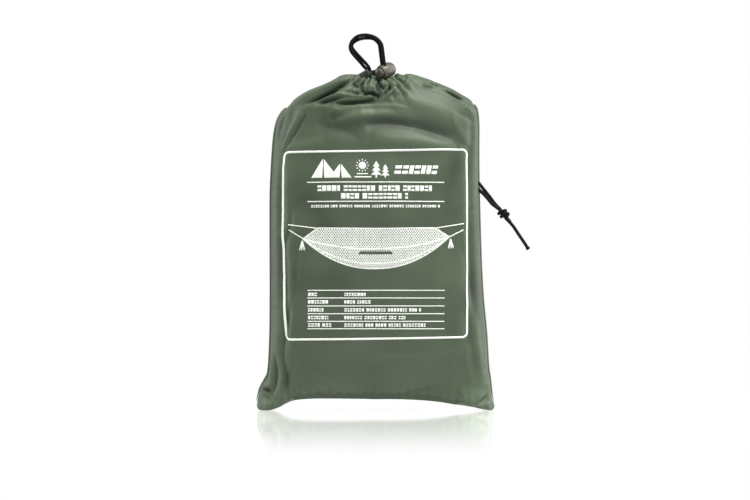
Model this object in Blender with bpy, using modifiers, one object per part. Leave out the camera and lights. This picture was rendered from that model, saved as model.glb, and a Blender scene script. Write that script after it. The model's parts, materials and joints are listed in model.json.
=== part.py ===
"""Packed hammock mosquito net: a drawstring stuff sack with its cord lock, side cord and contents.

Sizes are in millimetres and become metres when a mesh is made. +Z is up and the printed front faces -Y.
The sack stands on its two folded bottom corners.
"""

import math

import bmesh
import bpy
import numpy as np
from mathutils import Matrix, Vector

MM = 0.001

# Sack
BASE_WIDTH = 215.5      # across the two bottom corners
BODY_WIDTH = 188.0      # across the side seams at mid height
SHOULDER_WIDTH = 168.0  # across the ends of the mouth
SHOULDER_HEIGHT = 268.0
NECK_HEIGHT = 300.0     # top of the gathered mouth
DEPTH = 70.0
WALL = 1.0              # fabric with its folds pressed together
SEAM = 2.2              # visible width of a side seam
SEAM_THICKNESS = 1.8
GAP = 0.35              # between neighbouring pieces
PANEL_SPLIT = 2.2       # between the front and back panels' edges

# Folded bottom corners and hem
CORNER_WIDTH = 25.0
CORNER_DEPTH = 44.0
CORNER_HEIGHT = 13.0
HEM_DROP = 6.0          # the hem hangs this far below the panels

# Mouth
CHANNEL_RADIUS = 3.6
CHANNEL_WALL = 0.8
MOUTH_HALF_GAP = 4.2    # the front and back runs of the channel each stand this far from the middle
EXIT_LEFT = -4.0
EXIT_RIGHT = 21.0

# Cords
CORD = 3.0
STRAND_PITCH = 3.4
SIDE_CORD_HEIGHT = 200.0

# Cord lock, in its own frame: Z from the cup towards the button, X along the cord, Y across the two strands
LOCK_RADIUS = 7.0
LOCK_CAVITY = 5.2
LOCK_FLOOR = -6.2
LOCK_BACK = -7.5
LOCK_RIM = 6.5
BUTTON_CLEARANCE = 0.3
BUTTON_END = 11.0
BUTTON_TRAVEL = 2.5
BORE_CENTRE = 2.0
BORE_CLEARANCE = 0.35
BRIDGE = 1.5            # the button's wall below its slot
SPRING_WIRE = 0.5
SPRING_TURNS = 3.5
LOCK_TURN = 23.0        # degrees that the button points below the horizontal
LOCK_FORWARD = 40.0     # degrees that the button points towards the front
LOCK_PLACE = (8.8, -3.2, NECK_HEIGHT + 5.1)

# Contents
POLE_RADIUS = 3.5
POLE_BORE = 1.5
FERRULE_RADIUS = POLE_RADIUS + 0.8
POLE_PITCH = 2 * FERRULE_RADIUS + 0.8
POLE_ROWS = 2
POLE_SECTIONS = 3
POLE_END_ROOM = 21.0    # from the shoulder and from the floor to a section's ends
POLE_SIDE_ROOM = 27.0   # from the right seam to the first section's axis
FERRULE_LENGTH = 34.0
FERRULE_REACH = 17.0    # how far a ferrule slides over its section
NET_INSET = 3.0
NET_ROOM = 6.0          # between the net and the poles


def clear_scene():
    for thing in list(bpy.data.objects):
        bpy.data.objects.remove(thing, do_unlink=True)


def new_collection(name):
    collection = bpy.data.collections.new(name)
    bpy.context.scene.collection.children.link(collection)
    return collection


def material(name, colour, roughness, metallic=0.0):
    made = bpy.data.materials.new(name)
    made.use_nodes = True
    shader = made.node_tree.nodes["Principled BSDF"]
    shader.inputs["Base Color"].default_value = (*colour, 1.0)
    shader.inputs["Roughness"].default_value = roughness
    shader.inputs["Metallic"].default_value = metallic
    return made


def add_object(name, data, collection, finish=None):
    made = bpy.data.objects.new(name, data)
    collection.objects.link(made)
    if finish is not None:
        data.materials.append(finish)
    return made


def mesh_from(name, points, faces):
    mesh = bpy.data.meshes.new(name)
    mesh.from_pydata([tuple(p * MM for p in point) for point in points], [], faces)
    mesh.update()
    return mesh


def smooth_line(points, count, closed_ends=True):
    """Evenly spaced points on a Catmull-Rom curve through the given points."""
    given = np.array(points, dtype=float)
    if closed_ends:
        given = np.vstack([2 * given[0] - given[1], given, 2 * given[-1] - given[-2]])
    dense = []
    for a, b, c, d in zip(given[:-3], given[1:-2], given[2:-1], given[3:]):
        for t in np.linspace(0.0, 1.0, 24, endpoint=False):
            dense.append(
                0.5 * (2 * b + (c - a) * t + (2 * a - 5 * b + 4 * c - d) * t**2
                       + (3 * b - a - 3 * c + d) * t**3)
            )
    dense.append(given[-2])
    return even_line(np.array(dense), count)


def even_line(dense, count):
    steps = np.linalg.norm(np.diff(dense, axis=0), axis=1)
    along = np.concatenate([[0.0], np.cumsum(steps)])
    wanted = np.linspace(0.0, along[-1], count)
    return np.column_stack([np.interp(wanted, along, dense[:, k]) for k in range(dense.shape[1])])


def tube(name, points, radius, collection, finish, resolution=2):
    curve = bpy.data.curves.new(name, "CURVE")
    curve.dimensions = "3D"
    curve.bevel_depth = radius * MM
    curve.bevel_resolution = resolution
    curve.use_fill_caps = True
    spline = curve.splines.new("POLY")
    spline.points.add(len(points) - 1)
    for place, point in zip(spline.points, points):
        place.co = (point[0] * MM, point[1] * MM, point[2] * MM, 1.0)
    return add_object(name, curve, collection, finish)


def curve_to_mesh(thing):
    """Replace a curve object with its welded mesh."""
    bpy.context.view_layer.update()
    evaluated = thing.evaluated_get(bpy.context.evaluated_depsgraph_get())
    mesh = bpy.data.meshes.new_from_object(evaluated)
    work = bmesh.new()
    work.from_mesh(mesh)
    bmesh.ops.remove_doubles(work, verts=work.verts, dist=0.00001)
    work.to_mesh(mesh)
    work.free()
    name, place, collection = thing.name, thing.matrix_world.copy(), thing.users_collection[0]
    bpy.data.objects.remove(thing, do_unlink=True)
    made = bpy.data.objects.new(name, mesh)
    collection.objects.link(made)
    made.matrix_world = place
    return made


def turned(name, profile, steps, collection, finish):
    """A closed profile of (radius, height) points turned about Z with a Screw modifier."""
    points = [(r, 0.0, z) for r, z in profile]
    mesh = bpy.data.meshes.new(name)
    edges = [(k, k + 1) for k in range(len(points) - 1)]
    mesh.from_pydata([tuple(p * MM for p in point) for point in points], edges, [])
    made = add_object(name, mesh, collection, finish)
    screw = made.modifiers.new("turn", "SCREW")
    screw.steps = steps
    screw.render_steps = steps
    screw.use_merge_vertices = True
    screw.merge_threshold = 0.00001
    return made


def box_cutter(name, size, centre, collection):
    bpy.ops.mesh.primitive_cube_add(size=1.0)
    made = bpy.context.active_object
    made.name = name
    made.data.transform(
        Matrix.Translation([c * MM for c in centre]) @ Matrix.Diagonal([s * MM for s in size] + [1.0])
    )
    for holder in list(made.users_collection):
        holder.objects.unlink(made)
    collection.objects.link(made)
    made.hide_render = True
    made.display_type = "WIRE"
    return made


def cut(thing, cutter):
    knife = thing.modifiers.new("cut", "BOOLEAN")
    knife.operation = "DIFFERENCE"
    knife.solver = "EXACT"
    knife.object = cutter


# The sack's outline, seen from the front, as (x, z)

def side_line(side):
    """A side seam's outer edge from the folded corner up to the shoulder."""
    half = BODY_WIDTH / 2
    rise = SHOULDER_HEIGHT
    if side < 0:
        steps = [
            (9.8, 0.057), (8.9, 0.082), (3.5, 0.125), (1.6, 0.25),
            (1.2, 0.52), (0.0, 0.80), (-3.6, 0.93),
        ]
    else:
        steps = [
            (9.8, 0.057), (8.9, 0.082), (6.9, 0.140), (3.4, 0.32),
            (0.0, 0.53), (-2.0, 0.80), (-2.2, 0.94),
        ]
    line = [(side * (half + out), rise * share) for out, share in steps]
    line.append((side * (SHOULDER_WIDTH / 2 + side * 3.0), rise))
    return smooth_line(line, 60)


def mouth_line():
    """The middle of the drawcord channel, from the left shoulder to the right one."""
    left = -SHOULDER_WIDTH / 2 + 3.0
    right = SHOULDER_WIDTH / 2 + 3.0
    top = NECK_HEIGHT - CHANNEL_RADIUS
    rise = top - SHOULDER_HEIGHT
    shape = [(0.0, 0.10), (0.11, 0.50), (0.23, 0.82), (0.35, 0.98), (0.45, 0.92), (0.53, 0.84),
             (0.61, 0.92), (0.69, 0.98), (0.82, 0.80), (0.92, 0.48), (1.0, 0.10)]
    line = [(left + (right - left) * share, SHOULDER_HEIGHT + rise * up) for share, up in shape]
    return smooth_line(line, 80)


def offset_line(line, distance):
    """The line moved sideways, to the right of its direction."""
    along = np.gradient(line, axis=0)
    along /= np.linalg.norm(along, axis=1)[:, None]
    return line + distance * np.column_stack([along[:, 1], -along[:, 0]])


def hem_top():
    """The panels' bottom edge, from the left corner to the right one."""
    left = side_line(-1)[0][0] + SEAM + 2 * GAP
    right = side_line(1)[0][0] - SEAM - 2 * GAP
    level = CORNER_HEIGHT + 1.6
    shape = [(0.0, 0.0), (0.1, 0.3), (0.2, 0.8), (0.5, 1.0), (0.8, 0.6), (1.0, 0.0)]
    return smooth_line([(left + (right - left) * share, level + rise) for share, rise in shape], 60)


def panel_edges():
    """The four edges of a panel: bottom, top, left and right."""
    bottom = hem_top()
    top = offset_line(mouth_line(), CHANNEL_RADIUS + GAP + 0.45)
    left = offset_line(side_line(-1), SEAM + 2 * GAP)
    right = offset_line(side_line(1), -SEAM - 2 * GAP)
    left[0], right[0] = bottom[0], bottom[-1]
    left[-1], right[-1] = top[0], top[-1]
    return bottom, top, left, right


def across(edge, share):
    """Points of an edge at the given shares of its length."""
    steps = np.linalg.norm(np.diff(edge, axis=0), axis=1)
    along = np.concatenate([[0.0], np.cumsum(steps)])
    wanted = np.asarray(share) * along[-1]
    return np.stack([np.interp(wanted, along, edge[:, k]) for k in (0, 1)], axis=-1)


def sack_place(u, v):
    """The x and z of a panel at u across and v up: a Coons patch between its four edges."""
    bottom, top, left, right = panel_edges()
    u, v = np.asarray(u), np.asarray(v)
    w, h = u[..., None], v[..., None]
    rows = (1 - h) * across(bottom, u) + h * across(top, u)
    columns = (1 - w) * across(left, v) + w * across(right, v)
    corners = (
        (1 - w) * (1 - h) * bottom[0] + w * (1 - h) * bottom[-1]
        + (1 - w) * h * top[0] + w * h * top[-1]
    )
    return rows + columns - corners


BELLY = 0.15             # the bottom rounds off below this share of the height
NECK = 0.5              # and the top above this one


def fullness(u, v):
    """How far the sack bulges, from 0 at its seams to 1 at its fullest."""
    mouth = (MOUTH_HALF_GAP - PANEL_SPLIT / 2) / (DEPTH / 2)
    sideways = np.clip(1 - np.abs(2 * u - 1) ** 2.4, 0, 1) ** (1 / 2.2)
    low = np.sqrt(np.clip(1 - (1 - np.minimum(v / BELLY, 1)) ** 2, 0, 1))
    high = np.sqrt(np.clip(1 - np.clip((v - NECK) / (1 - NECK), 0, 1) ** 2, 0, 1))
    return sideways * low * (mouth + (1 - mouth) * high)


def eased(count):
    """Shares from 0 to 1, closer together at both ends."""
    return (1 - np.cos(np.linspace(0, math.pi, count + 1))) / 2


def panel(name, side, collection, finish):
    """One half of the sack: an open surface given its wall by Solidify."""
    columns, rows = 20, 20
    u, v = np.meshgrid(eased(columns), eased(rows))
    flat = sack_place(u, v)
    bulge = side * (PANEL_SPLIT / 2 + DEPTH / 2 * fullness(u, v))
    points = np.stack([flat[..., 0], bulge, flat[..., 1]], axis=-1).reshape(-1, 3)
    wide = columns + 1
    faces = []
    for row in range(rows):
        for column in range(columns):
            a = row * wide + column
            face = (a, a + 1, a + wide + 1, a + wide)
            faces.append(face if side < 0 else face[::-1])
    made = add_object(name, mesh_from(name, points, faces), collection, finish)
    wall = made.modifiers.new("wall", "SOLIDIFY")
    wall.thickness = WALL * MM
    wall.offset = -1.0
    return made


def pillow(name, low, high, inset, collection, finish):
    """A closed soft form inside the sack, between two (u, v) corners of its outline."""
    columns, rows = 14, 14
    s, t = np.meshgrid(eased(columns), eased(rows))
    u = low[0] + (high[0] - low[0]) * s
    v = low[1] + (high[1] - low[1]) * t
    flat = sack_place(u, v)
    edge = np.clip(1 - np.abs(2 * s - 1) ** 5, 0, 1) ** 0.4 * np.clip(1 - np.abs(2 * t - 1) ** 5, 0, 1) ** 0.4
    bulge = (DEPTH / 2 - inset) * fullness(u, v) * edge
    front = np.stack([flat[..., 0], -bulge, flat[..., 1]], axis=-1)
    back = np.stack([flat[..., 0], bulge, flat[..., 1]], axis=-1)
    points = np.concatenate([front.reshape(-1, 3), back.reshape(-1, 3)])
    wide = columns + 1
    faces = []
    for row in range(rows):
        for column in range(columns):
            a = row * wide + column
            b = a + wide * (rows + 1)
            faces.append((a, a + 1, a + wide + 1, a + wide))
            faces.append((b + wide, b + wide + 1, b + 1, b))
    mesh = mesh_from(name, points, faces)
    work = bmesh.new()
    work.from_mesh(mesh)
    bmesh.ops.remove_doubles(work, verts=work.verts, dist=0.00001)
    work.to_mesh(mesh)
    work.free()
    return add_object(name, mesh, collection, finish)


def strip(name, outer, inner, thickness, collection, finish):
    """A flat band between two lines in the XZ plane."""
    half = thickness / 2
    points = []
    for a, b in zip(outer, inner):
        points += [(a[0], -half, a[1]), (a[0], half, a[1]), (b[0], half, b[1]), (b[0], -half, b[1])]
    faces = [(3, 2, 1, 0)]
    for k in range(len(outer) - 1):
        for side in range(4):
            a, b = 4 * k + side, 4 * k + (side + 1) % 4
            faces.append((a, b, b + 4, a + 4))
    last = 4 * (len(outer) - 1)
    faces.append((last, last + 1, last + 2, last + 3))
    mesh = mesh_from(name, points, faces)
    work = bmesh.new()
    work.from_mesh(mesh)
    bmesh.ops.recalc_face_normals(work, faces=work.faces)
    work.to_mesh(mesh)
    work.free()
    return add_object(name, mesh, collection, finish)


def side_seam(name, side, collection, finish):
    """A seam from its corner fold to just under the channel."""
    line = even_line(side_line(side), 240)
    from_channel = np.hypot(*(line - mouth_line()[0 if side < 0 else -1]).T)
    line = even_line(line[from_channel > CHANNEL_RADIUS + 2.0], 24)
    return strip(name, line, offset_line(line, -side * SEAM), SEAM_THICKNESS, collection, finish)


def bottom_hem(name, collection, finish):
    """The turned-up hem between the two folded corners; it hangs lower towards the right."""
    reach = BASE_WIDTH / 2 - CORNER_WIDTH - 1.0
    across_hem = np.linspace(-reach, reach, 25)
    top_edge = hem_top()
    top = np.interp(across_hem, top_edge[:, 0], top_edge[:, 1]) - GAP
    share = (across_hem + reach) / (2 * reach)
    drop = HEM_DROP + 4.0 * share**4 + 1.5 * (1 - share) ** 6
    upper = np.column_stack([across_hem, top])
    lower = np.column_stack([across_hem, top - drop])
    return strip(name, lower, upper, SEAM_THICKNESS, collection, finish)


def corner_fold(name, side, collection, finish):
    """A bottom corner folded flat under the sack: a wedge with a level sole."""
    bpy.ops.mesh.primitive_cube_add(size=1.0)
    made = bpy.context.active_object
    made.name = name
    made.data.name = name
    for point in made.data.vertices:
        upper = point.co.z > 0
        x = point.co.x * CORNER_WIDTH * (0.82 if upper else 1.0)
        y = point.co.y * CORNER_DEPTH * (0.5 if upper else 1.0)
        middle = side * (BASE_WIDTH - CORNER_WIDTH) / 2
        point.co = Vector((middle + x, y, CORNER_HEIGHT if upper else 0.0)) * MM
    for holder in list(made.users_collection):
        holder.objects.unlink(made)
    collection.objects.link(made)
    made.data.materials.append(finish)
    rounding = made.modifiers.new("rounding", "BEVEL")
    rounding.width = 3.0 * MM
    rounding.segments = 3
    return made


def channel_path():
    """The drawcord's way round the mouth, from the right exit to the left one."""
    line = mouth_line()
    exits = [(x, np.interp(x, line[:, 0], line[:, 1])) for x in (EXIT_LEFT, EXIT_RIGHT)]
    right = np.vstack([exits[1], line[line[:, 0] > EXIT_RIGHT + 0.1]])
    left = np.vstack([line[line[:, 0] < EXIT_LEFT - 0.1], exits[0]])
    front = -MOUTH_HALF_GAP
    path = [(x, front, z) for x, z in even_line(right, 14)]
    path += turn_at(line[-1], line[-1] - line[-2], -1)
    path += [(x, -front, z) for x, z in even_line(line[::-1], 30)]
    path += turn_at(line[0], line[0] - line[1], 1)
    path += [(x, front, z) for x, z in even_line(left, 12)]
    return path


def turn_at(end, direction, start):
    """The half circle that joins the front and back runs past an end of the mouth."""
    ahead = direction / np.linalg.norm(direction)
    points = []
    for step in range(1, 6):
        angle = math.pi * step / 6
        out = MOUTH_HALF_GAP * math.sin(angle)
        y = start * MOUTH_HALF_GAP * math.cos(angle)
        points.append((end[0] + ahead[0] * out, y, end[1] + ahead[1] * out))
    return points


def channel(name, collection, finish):
    """The hem round the mouth: an open-ended sleeve with the drawcord inside."""
    sleeve = tube(name, channel_path(), CHANNEL_RADIUS, collection, finish)
    sleeve.data.use_fill_caps = False
    made = curve_to_mesh(sleeve)
    wall = made.modifiers.new("wall", "SOLIDIFY")
    wall.thickness = CHANNEL_WALL * MM
    wall.offset = -1.0
    return made


# The cord lock

def lock_frame():
    """Origin and axes of the lock: along the cord, across the strands and towards the button."""
    turn, forward = math.radians(LOCK_TURN), math.radians(LOCK_FORWARD)
    press = Vector((
        -math.cos(turn) * math.cos(forward), -math.sin(forward), -math.sin(turn) * math.cos(forward)
    ))
    rise = Vector((0.2, 0.0, 1.0))
    along = (rise - press * rise.dot(press)).normalized()
    beside = press.cross(along)
    return Vector(LOCK_PLACE), along, beside, press


def lock_holder(name, collection):
    """An empty at the lock, with its X along the cord and its Z along the button's travel."""
    place, along, beside, press = lock_frame()
    holder = bpy.data.objects.new(name, None)
    collection.objects.link(holder)
    turn = Matrix((along, beside, press)).transposed().to_4x4()
    holder.matrix_world = Matrix.Translation(place * MM) @ turn
    return holder


def lock_body(holder, collection, guides, finish):
    """A barrel with a blind cavity for the button and a bore across it for the two strands."""
    outline = [(0.0, LOCK_FLOOR), (LOCK_CAVITY, LOCK_FLOOR), (LOCK_CAVITY, LOCK_RIM)]
    length = LOCK_RIM - LOCK_BACK
    middle = (LOCK_RIM + LOCK_BACK) / 2
    for step in range(9):
        height = LOCK_RIM - length * step / 8
        share = abs(height - middle) / (length / 2)
        outline.append((LOCK_RADIUS - 1.3 * share**3, height))
    outline.append((LOCK_RADIUS - 3.2, LOCK_BACK - 0.9))
    outline.append((0.0, LOCK_BACK - 1.2))
    made = turned("cord_lock_body", outline, 28, collection, finish)
    made.parent = holder
    bore_height = CORD + 2 * BORE_CLEARANCE
    bore_width = CORD + STRAND_PITCH + 2 * BORE_CLEARANCE + 0.2
    bore = box_cutter(
        "cord_bore_guide", (4 * LOCK_RADIUS, bore_width, bore_height), (0, 0, BORE_CENTRE), guides
    )
    bore.parent = holder
    cut(made, bore)
    return made


def lock_button(holder, collection, guides, finish):
    """The plunger: its slot leaves the strands room for the whole travel."""
    radius = LOCK_CAVITY - BUTTON_CLEARANCE
    foot = BORE_CENTRE - CORD / 2 - BORE_CLEARANCE - BRIDGE
    outline = [(0.0, BUTTON_END)]
    for step in range(1, 6):
        angle = math.pi / 2 * step / 5
        outline.append((radius * math.sin(angle), BUTTON_END - 2.2 * (1 - math.cos(angle))))
    outline += [(radius, foot), (0.0, foot)]
    made = turned("cord_lock_button", outline, 28, collection, finish)
    made.parent = holder
    slot_low = BORE_CENTRE - CORD / 2 - BORE_CLEARANCE
    slot_high = BORE_CENTRE + CORD / 2 + BORE_CLEARANCE + BUTTON_TRAVEL
    slot_width = CORD + STRAND_PITCH + 2 * BORE_CLEARANCE + 0.2
    slot = box_cutter(
        "button_slot_guide",
        (4 * LOCK_RADIUS, slot_width, slot_high - slot_low),
        (0, 0, (slot_low + slot_high) / 2),
        guides,
    )
    slot.parent = holder
    cut(made, slot)
    return made


def lock_spring(holder, collection, finish):
    """The coil between the cavity's floor and the button's foot."""
    radius = LOCK_CAVITY - BUTTON_CLEARANCE - 1.2
    foot = BORE_CENTRE - CORD / 2 - BORE_CLEARANCE - BRIDGE
    low = LOCK_FLOOR + GAP + SPRING_WIRE / 2
    high = foot - GAP - SPRING_WIRE / 2
    count = int(12 * SPRING_TURNS) + 1
    points = []
    for step in range(count):
        share = step / (count - 1)
        angle = 2 * math.pi * SPRING_TURNS * share
        points.append((radius * math.cos(angle), radius * math.sin(angle), low + (high - low) * share))
    made = tube("cord_lock_spring", points, SPRING_WIRE / 2, collection, finish)
    made.parent = holder
    return made


# Cords. Route points stand relative to the lock's centre or to the side seam.

STRAIGHT = (-9.5, -8.0, -3.0, 4.0, 11.0, 18.0, 20.0, 21.0)   # places along the bore, as the lock slides

# middle of the pair beyond the lock, and the half step from it to the left-hand strand
LOOP = [
    ((-4.2, -8.8, 22.4), (-1.9, 0.2, -0.5)),
    ((-8.9, -8.9, 27.9), (-0.9, 1.5, -0.8)),
    ((-14.0, -8.0, 29.9), (0.2, 1.1, -1.4)),
    ((-19.5, -6.6, 30.3), (0.2, 0.2, -1.8)),
    ((-25.2, -5.0, 29.0), (0.7, 0.4, -1.7)),
    ((-30.0, -3.4, 25.2), (0.5, 1.6, -0.5)),
    ((-31.2, -1.4, 20.6), (0.8, 1.4, 0.9)),
    ((-28.2, 1.2, 15.8), (1.3, 0.4, 1.1)),
    ((-22.0, 5.8, 9.4), (1.4, 0.2, 1.2)),
    ((-16.5, 10.6, 3.4), (1.4, 0.1, 1.3)),
    ((-13.4, 12.9, 0.1), (1.3, 0.1, 1.4)),
]
KNOT = (-9.4, 15.6, -4.4)
KNOT_SIZE = (5.6, 4.6, 5.2)
TAILS = [
    [(-6.8, 19.2, -8.4), (-4.2, 21.9, -13.3), (-2.8, 23.8, -19.0)],
    [(-10.6, 19.6, -8.6), (-11.8, 22.2, -13.6), (-13.2, 24.0, -17.6)],
]


def bore_points(sign):
    """Places of one strand on the straight stretch through the lock."""
    place, along, beside, press = lock_frame()
    start = place + press * BORE_CENTRE + beside * (sign * STRAND_PITCH / 2)
    return [tuple(start + along * s) for s in STRAIGHT]


def from_lock(offset):
    return tuple(Vector(LOCK_PLACE) + Vector(offset))


def strand_route(sign):
    """One strand from its channel exit through the lock and over the loop to the knot."""
    line = mouth_line()
    if sign > 0:
        start, lead = EXIT_LEFT, 1
    else:
        start, lead = EXIT_RIGHT, -1
    level = float(np.interp(start, line[:, 0], line[:, 1]))
    front = -MOUTH_HALF_GAP
    route = [
        (start + lead * GAP, front, level),
        (start + lead * 4.0, front - 0.1, level - 0.7),
    ]
    first = Vector(bore_points(sign)[0])
    route.append((first[0] + (-2.0 if lead > 0 else 2.4), front + 1.4, level - 0.4))
    route += bore_points(sign)
    for middle, step in LOOP:
        route.append(from_lock(Vector(middle) + Vector(step) * sign))
    return route


def drawcord(collection, finish):
    tube("drawcord_in_channel", channel_path(), CORD / 2, collection, finish)
    for name, sign in (("drawcord_strand_left", 1), ("drawcord_strand_right", -1)):
        tube(name, smooth_line(strand_route(sign), 34), CORD / 2, collection, finish)
    knot("drawcord_knot", from_lock(KNOT), KNOT_SIZE, collection, finish)
    for number, tail in enumerate(TAILS, 1):
        route = [from_lock(offset) for offset in tail]
        tube(f"drawcord_tail_{number}", smooth_line(route, 6), CORD / 2, collection, finish)


def knot(name, centre, size, collection, finish, tilt=0.0):
    """The outer form of an overhand knot."""
    work = bmesh.new()
    bmesh.ops.create_uvsphere(work, u_segments=14, v_segments=9, radius=1.0)
    mesh = bpy.data.meshes.new(name)
    shape = (
        Matrix.Translation(Vector(centre) * MM)
        @ Matrix.Rotation(tilt, 4, "Y")
        @ Matrix.Diagonal([half * MM for half in size] + [1.0])
    )
    bmesh.ops.transform(work, matrix=shape, verts=work.verts)
    work.to_mesh(mesh)
    work.free()
    return add_object(name, mesh, collection, finish)


# side cord: offsets from the point of the right seam where it leaves
SIDE_LEGS = [
    [(1.5, 0.0, 2.6), (5.0, 0.3, -1.8), (9.5, 1.75, -7.6), (13.2, 1.85, -13.6), (17.3, 1.8, -18.9)],
    [(1.5, 0.0, -2.8), (5.0, -0.3, -6.2), (8.8, -1.75, -10.4), (12.6, -1.85, -14.2), (16.9, -1.8, -19.3)],
]
SIDE_KNOT = (21.0, 0.0, -23.7)
SIDE_KNOT_SIZE = (5.6, 4.6, 4.7)
SIDE_TAILS = [
    [(24.9, -1.8, -28.2), (29.5, -1.8, -34.6), (34.0, -1.4, -41.5), (39.0, -0.9, -48.6), (43.6, -0.6, -55.0)],
    [(24.6, 1.8, -27.9), (27.0, 1.8, -31.4), (28.6, 1.8, -34.2)],
]


def side_cord(collection, finish):
    """A doubled cord out of the right seam, knotted, with one long tail and one short."""
    seam = side_line(1)
    edge = float(np.interp(SIDE_CORD_HEIGHT, seam[:, 1], seam[:, 0])) + GAP

    def place(offset):
        return edge + offset[0], offset[1], SIDE_CORD_HEIGHT + offset[2]

    for name, route, count in zip(
        ("side_cord_leg_upper", "side_cord_leg_lower", "side_cord_tail_long", "side_cord_tail_short"),
        SIDE_LEGS + SIDE_TAILS,
        (8, 8, 9, 4),
    ):
        tube(name, smooth_line([place(offset) for offset in route], count), CORD / 2, collection, finish)
    knot("side_cord_knot", place(SIDE_KNOT), SIDE_KNOT_SIZE, collection, finish, tilt=math.radians(50))


# Contents

def pipe(name, x, y, low, high, outer, inner, collection, finish):
    """An open-ended tube standing upright."""
    outline = [(outer, high), (outer, low), (inner, low), (inner, high), (outer, high)]
    made = turned(name, outline, 14, collection, finish)
    made.location = (x * MM, y * MM, 0.0)
    return made


def pole_rows():
    """The (x, y) of each section's axis, pole by pole."""
    first = BODY_WIDTH / 2 - POLE_SIDE_ROOM
    rows = []
    for row in range(POLE_ROWS):
        y = (row - (POLE_ROWS - 1) / 2) * POLE_PITCH
        rows.append([(first - column * POLE_PITCH, y) for column in range(POLE_SECTIONS)])
    return rows


def poles(collection, tube_finish, ferrule_finish):
    """Two poles in three sections each; a ferrule slides over one end of all but the last."""
    low = POLE_END_ROOM + FERRULE_LENGTH - FERRULE_REACH
    high = SHOULDER_HEIGHT - POLE_END_ROOM
    for letter, row in zip("ab", pole_rows()):
        for number, (x, y) in enumerate(row, 1):
            pipe(f"pole_{letter}_section_{number}", x, y, low, high, POLE_RADIUS, POLE_BORE,
                 collection, tube_finish)
            if number < POLE_SECTIONS:
                pipe(f"pole_{letter}_ferrule_{number}", x, y, low + FERRULE_REACH - FERRULE_LENGTH,
                     low + FERRULE_REACH, FERRULE_RADIUS, POLE_RADIUS + 0.3, collection, ferrule_finish)


def packed_net(collection, finish):
    """The folded net fills the sack from its left side to the poles."""
    reach = pole_rows()[0][-1][0] - FERRULE_RADIUS - NET_ROOM
    share = (reach + BODY_WIDTH / 2) / BODY_WIDTH
    return pillow("net_bundle", (0.05, 0.07), (share, 0.86), NET_INSET, collection, finish)


def main():
    clear_scene()
    parts = new_collection("packed_hammock_net")
    guides = new_collection("guides")
    nylon = material("olive_nylon", (0.095, 0.125, 0.075), 0.5)
    seam = material("olive_seam", (0.11, 0.14, 0.09), 0.55)
    cord = material("black_cord", (0.012, 0.012, 0.013), 0.7)
    plastic = material("grey_plastic", (0.10, 0.095, 0.085), 0.35)
    steel = material("spring_steel", (0.6, 0.6, 0.6), 0.3, 1.0)
    mesh_net = material("olive_net", (0.075, 0.1, 0.06), 0.8)
    glass_fibre = material("pole_fibreglass", (0.03, 0.03, 0.032), 0.4)
    metal = material("ferrule_aluminium", (0.7, 0.71, 0.72), 0.3, 1.0)

    panel("sack_front_panel", -1, parts, nylon)
    panel("sack_back_panel", 1, parts, nylon)
    side_seam("sack_side_seam_left", -1, parts, seam)
    side_seam("sack_side_seam_right", 1, parts, seam)
    bottom_hem("sack_bottom_hem", parts, seam)
    corner_fold("sack_corner_left", -1, parts, nylon)
    corner_fold("sack_corner_right", 1, parts, nylon)
    channel("sack_drawcord_channel", parts, nylon)

    holder = lock_holder("cord_lock_holder", parts)
    lock_body(holder, parts, guides, plastic)
    lock_button(holder, parts, guides, plastic)
    lock_spring(holder, parts, steel)

    drawcord(parts, cord)
    side_cord(parts, cord)
    poles(parts, glass_fibre, metal)
    packed_net(parts, mesh_net)


main()
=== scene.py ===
import bpy, json, math
import numpy as np
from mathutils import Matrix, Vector

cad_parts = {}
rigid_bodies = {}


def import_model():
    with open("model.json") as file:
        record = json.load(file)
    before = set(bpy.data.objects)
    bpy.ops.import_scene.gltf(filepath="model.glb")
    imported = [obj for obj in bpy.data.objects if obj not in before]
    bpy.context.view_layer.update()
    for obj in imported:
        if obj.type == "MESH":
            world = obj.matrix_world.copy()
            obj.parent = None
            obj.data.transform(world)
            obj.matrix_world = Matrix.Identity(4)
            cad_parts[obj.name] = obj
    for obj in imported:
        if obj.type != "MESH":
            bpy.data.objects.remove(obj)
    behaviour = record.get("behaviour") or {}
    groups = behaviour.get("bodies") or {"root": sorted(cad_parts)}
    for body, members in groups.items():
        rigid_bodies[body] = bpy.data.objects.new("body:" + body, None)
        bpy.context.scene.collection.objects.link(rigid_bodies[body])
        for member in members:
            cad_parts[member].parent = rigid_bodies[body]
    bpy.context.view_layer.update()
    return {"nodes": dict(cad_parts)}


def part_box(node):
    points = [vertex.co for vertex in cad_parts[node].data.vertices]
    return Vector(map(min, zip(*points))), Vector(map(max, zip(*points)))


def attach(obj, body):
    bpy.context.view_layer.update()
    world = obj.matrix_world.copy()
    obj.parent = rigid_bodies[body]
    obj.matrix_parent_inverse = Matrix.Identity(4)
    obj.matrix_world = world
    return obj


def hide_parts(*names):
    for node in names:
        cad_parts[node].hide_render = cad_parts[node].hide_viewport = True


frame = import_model()
mm = 0.001

for ob in list(bpy.context.scene.objects):
    if ob.type in {"LIGHT", "CAMERA"}:
        bpy.data.objects.remove(ob)

# driving sizes from the frame, in mm: half the width at the corners, the mouth's height, half the depth
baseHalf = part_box("sack_corner_right")[1].x / mm
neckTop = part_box("sack_drawcord_channel")[1].z / mm
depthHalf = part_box("sack_back_panel")[1].y / mm


# camera, light and floor
view = dict(distance=3.0, width=0.675, across=-0.0007, height=0.144, lens=120.0)


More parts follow.
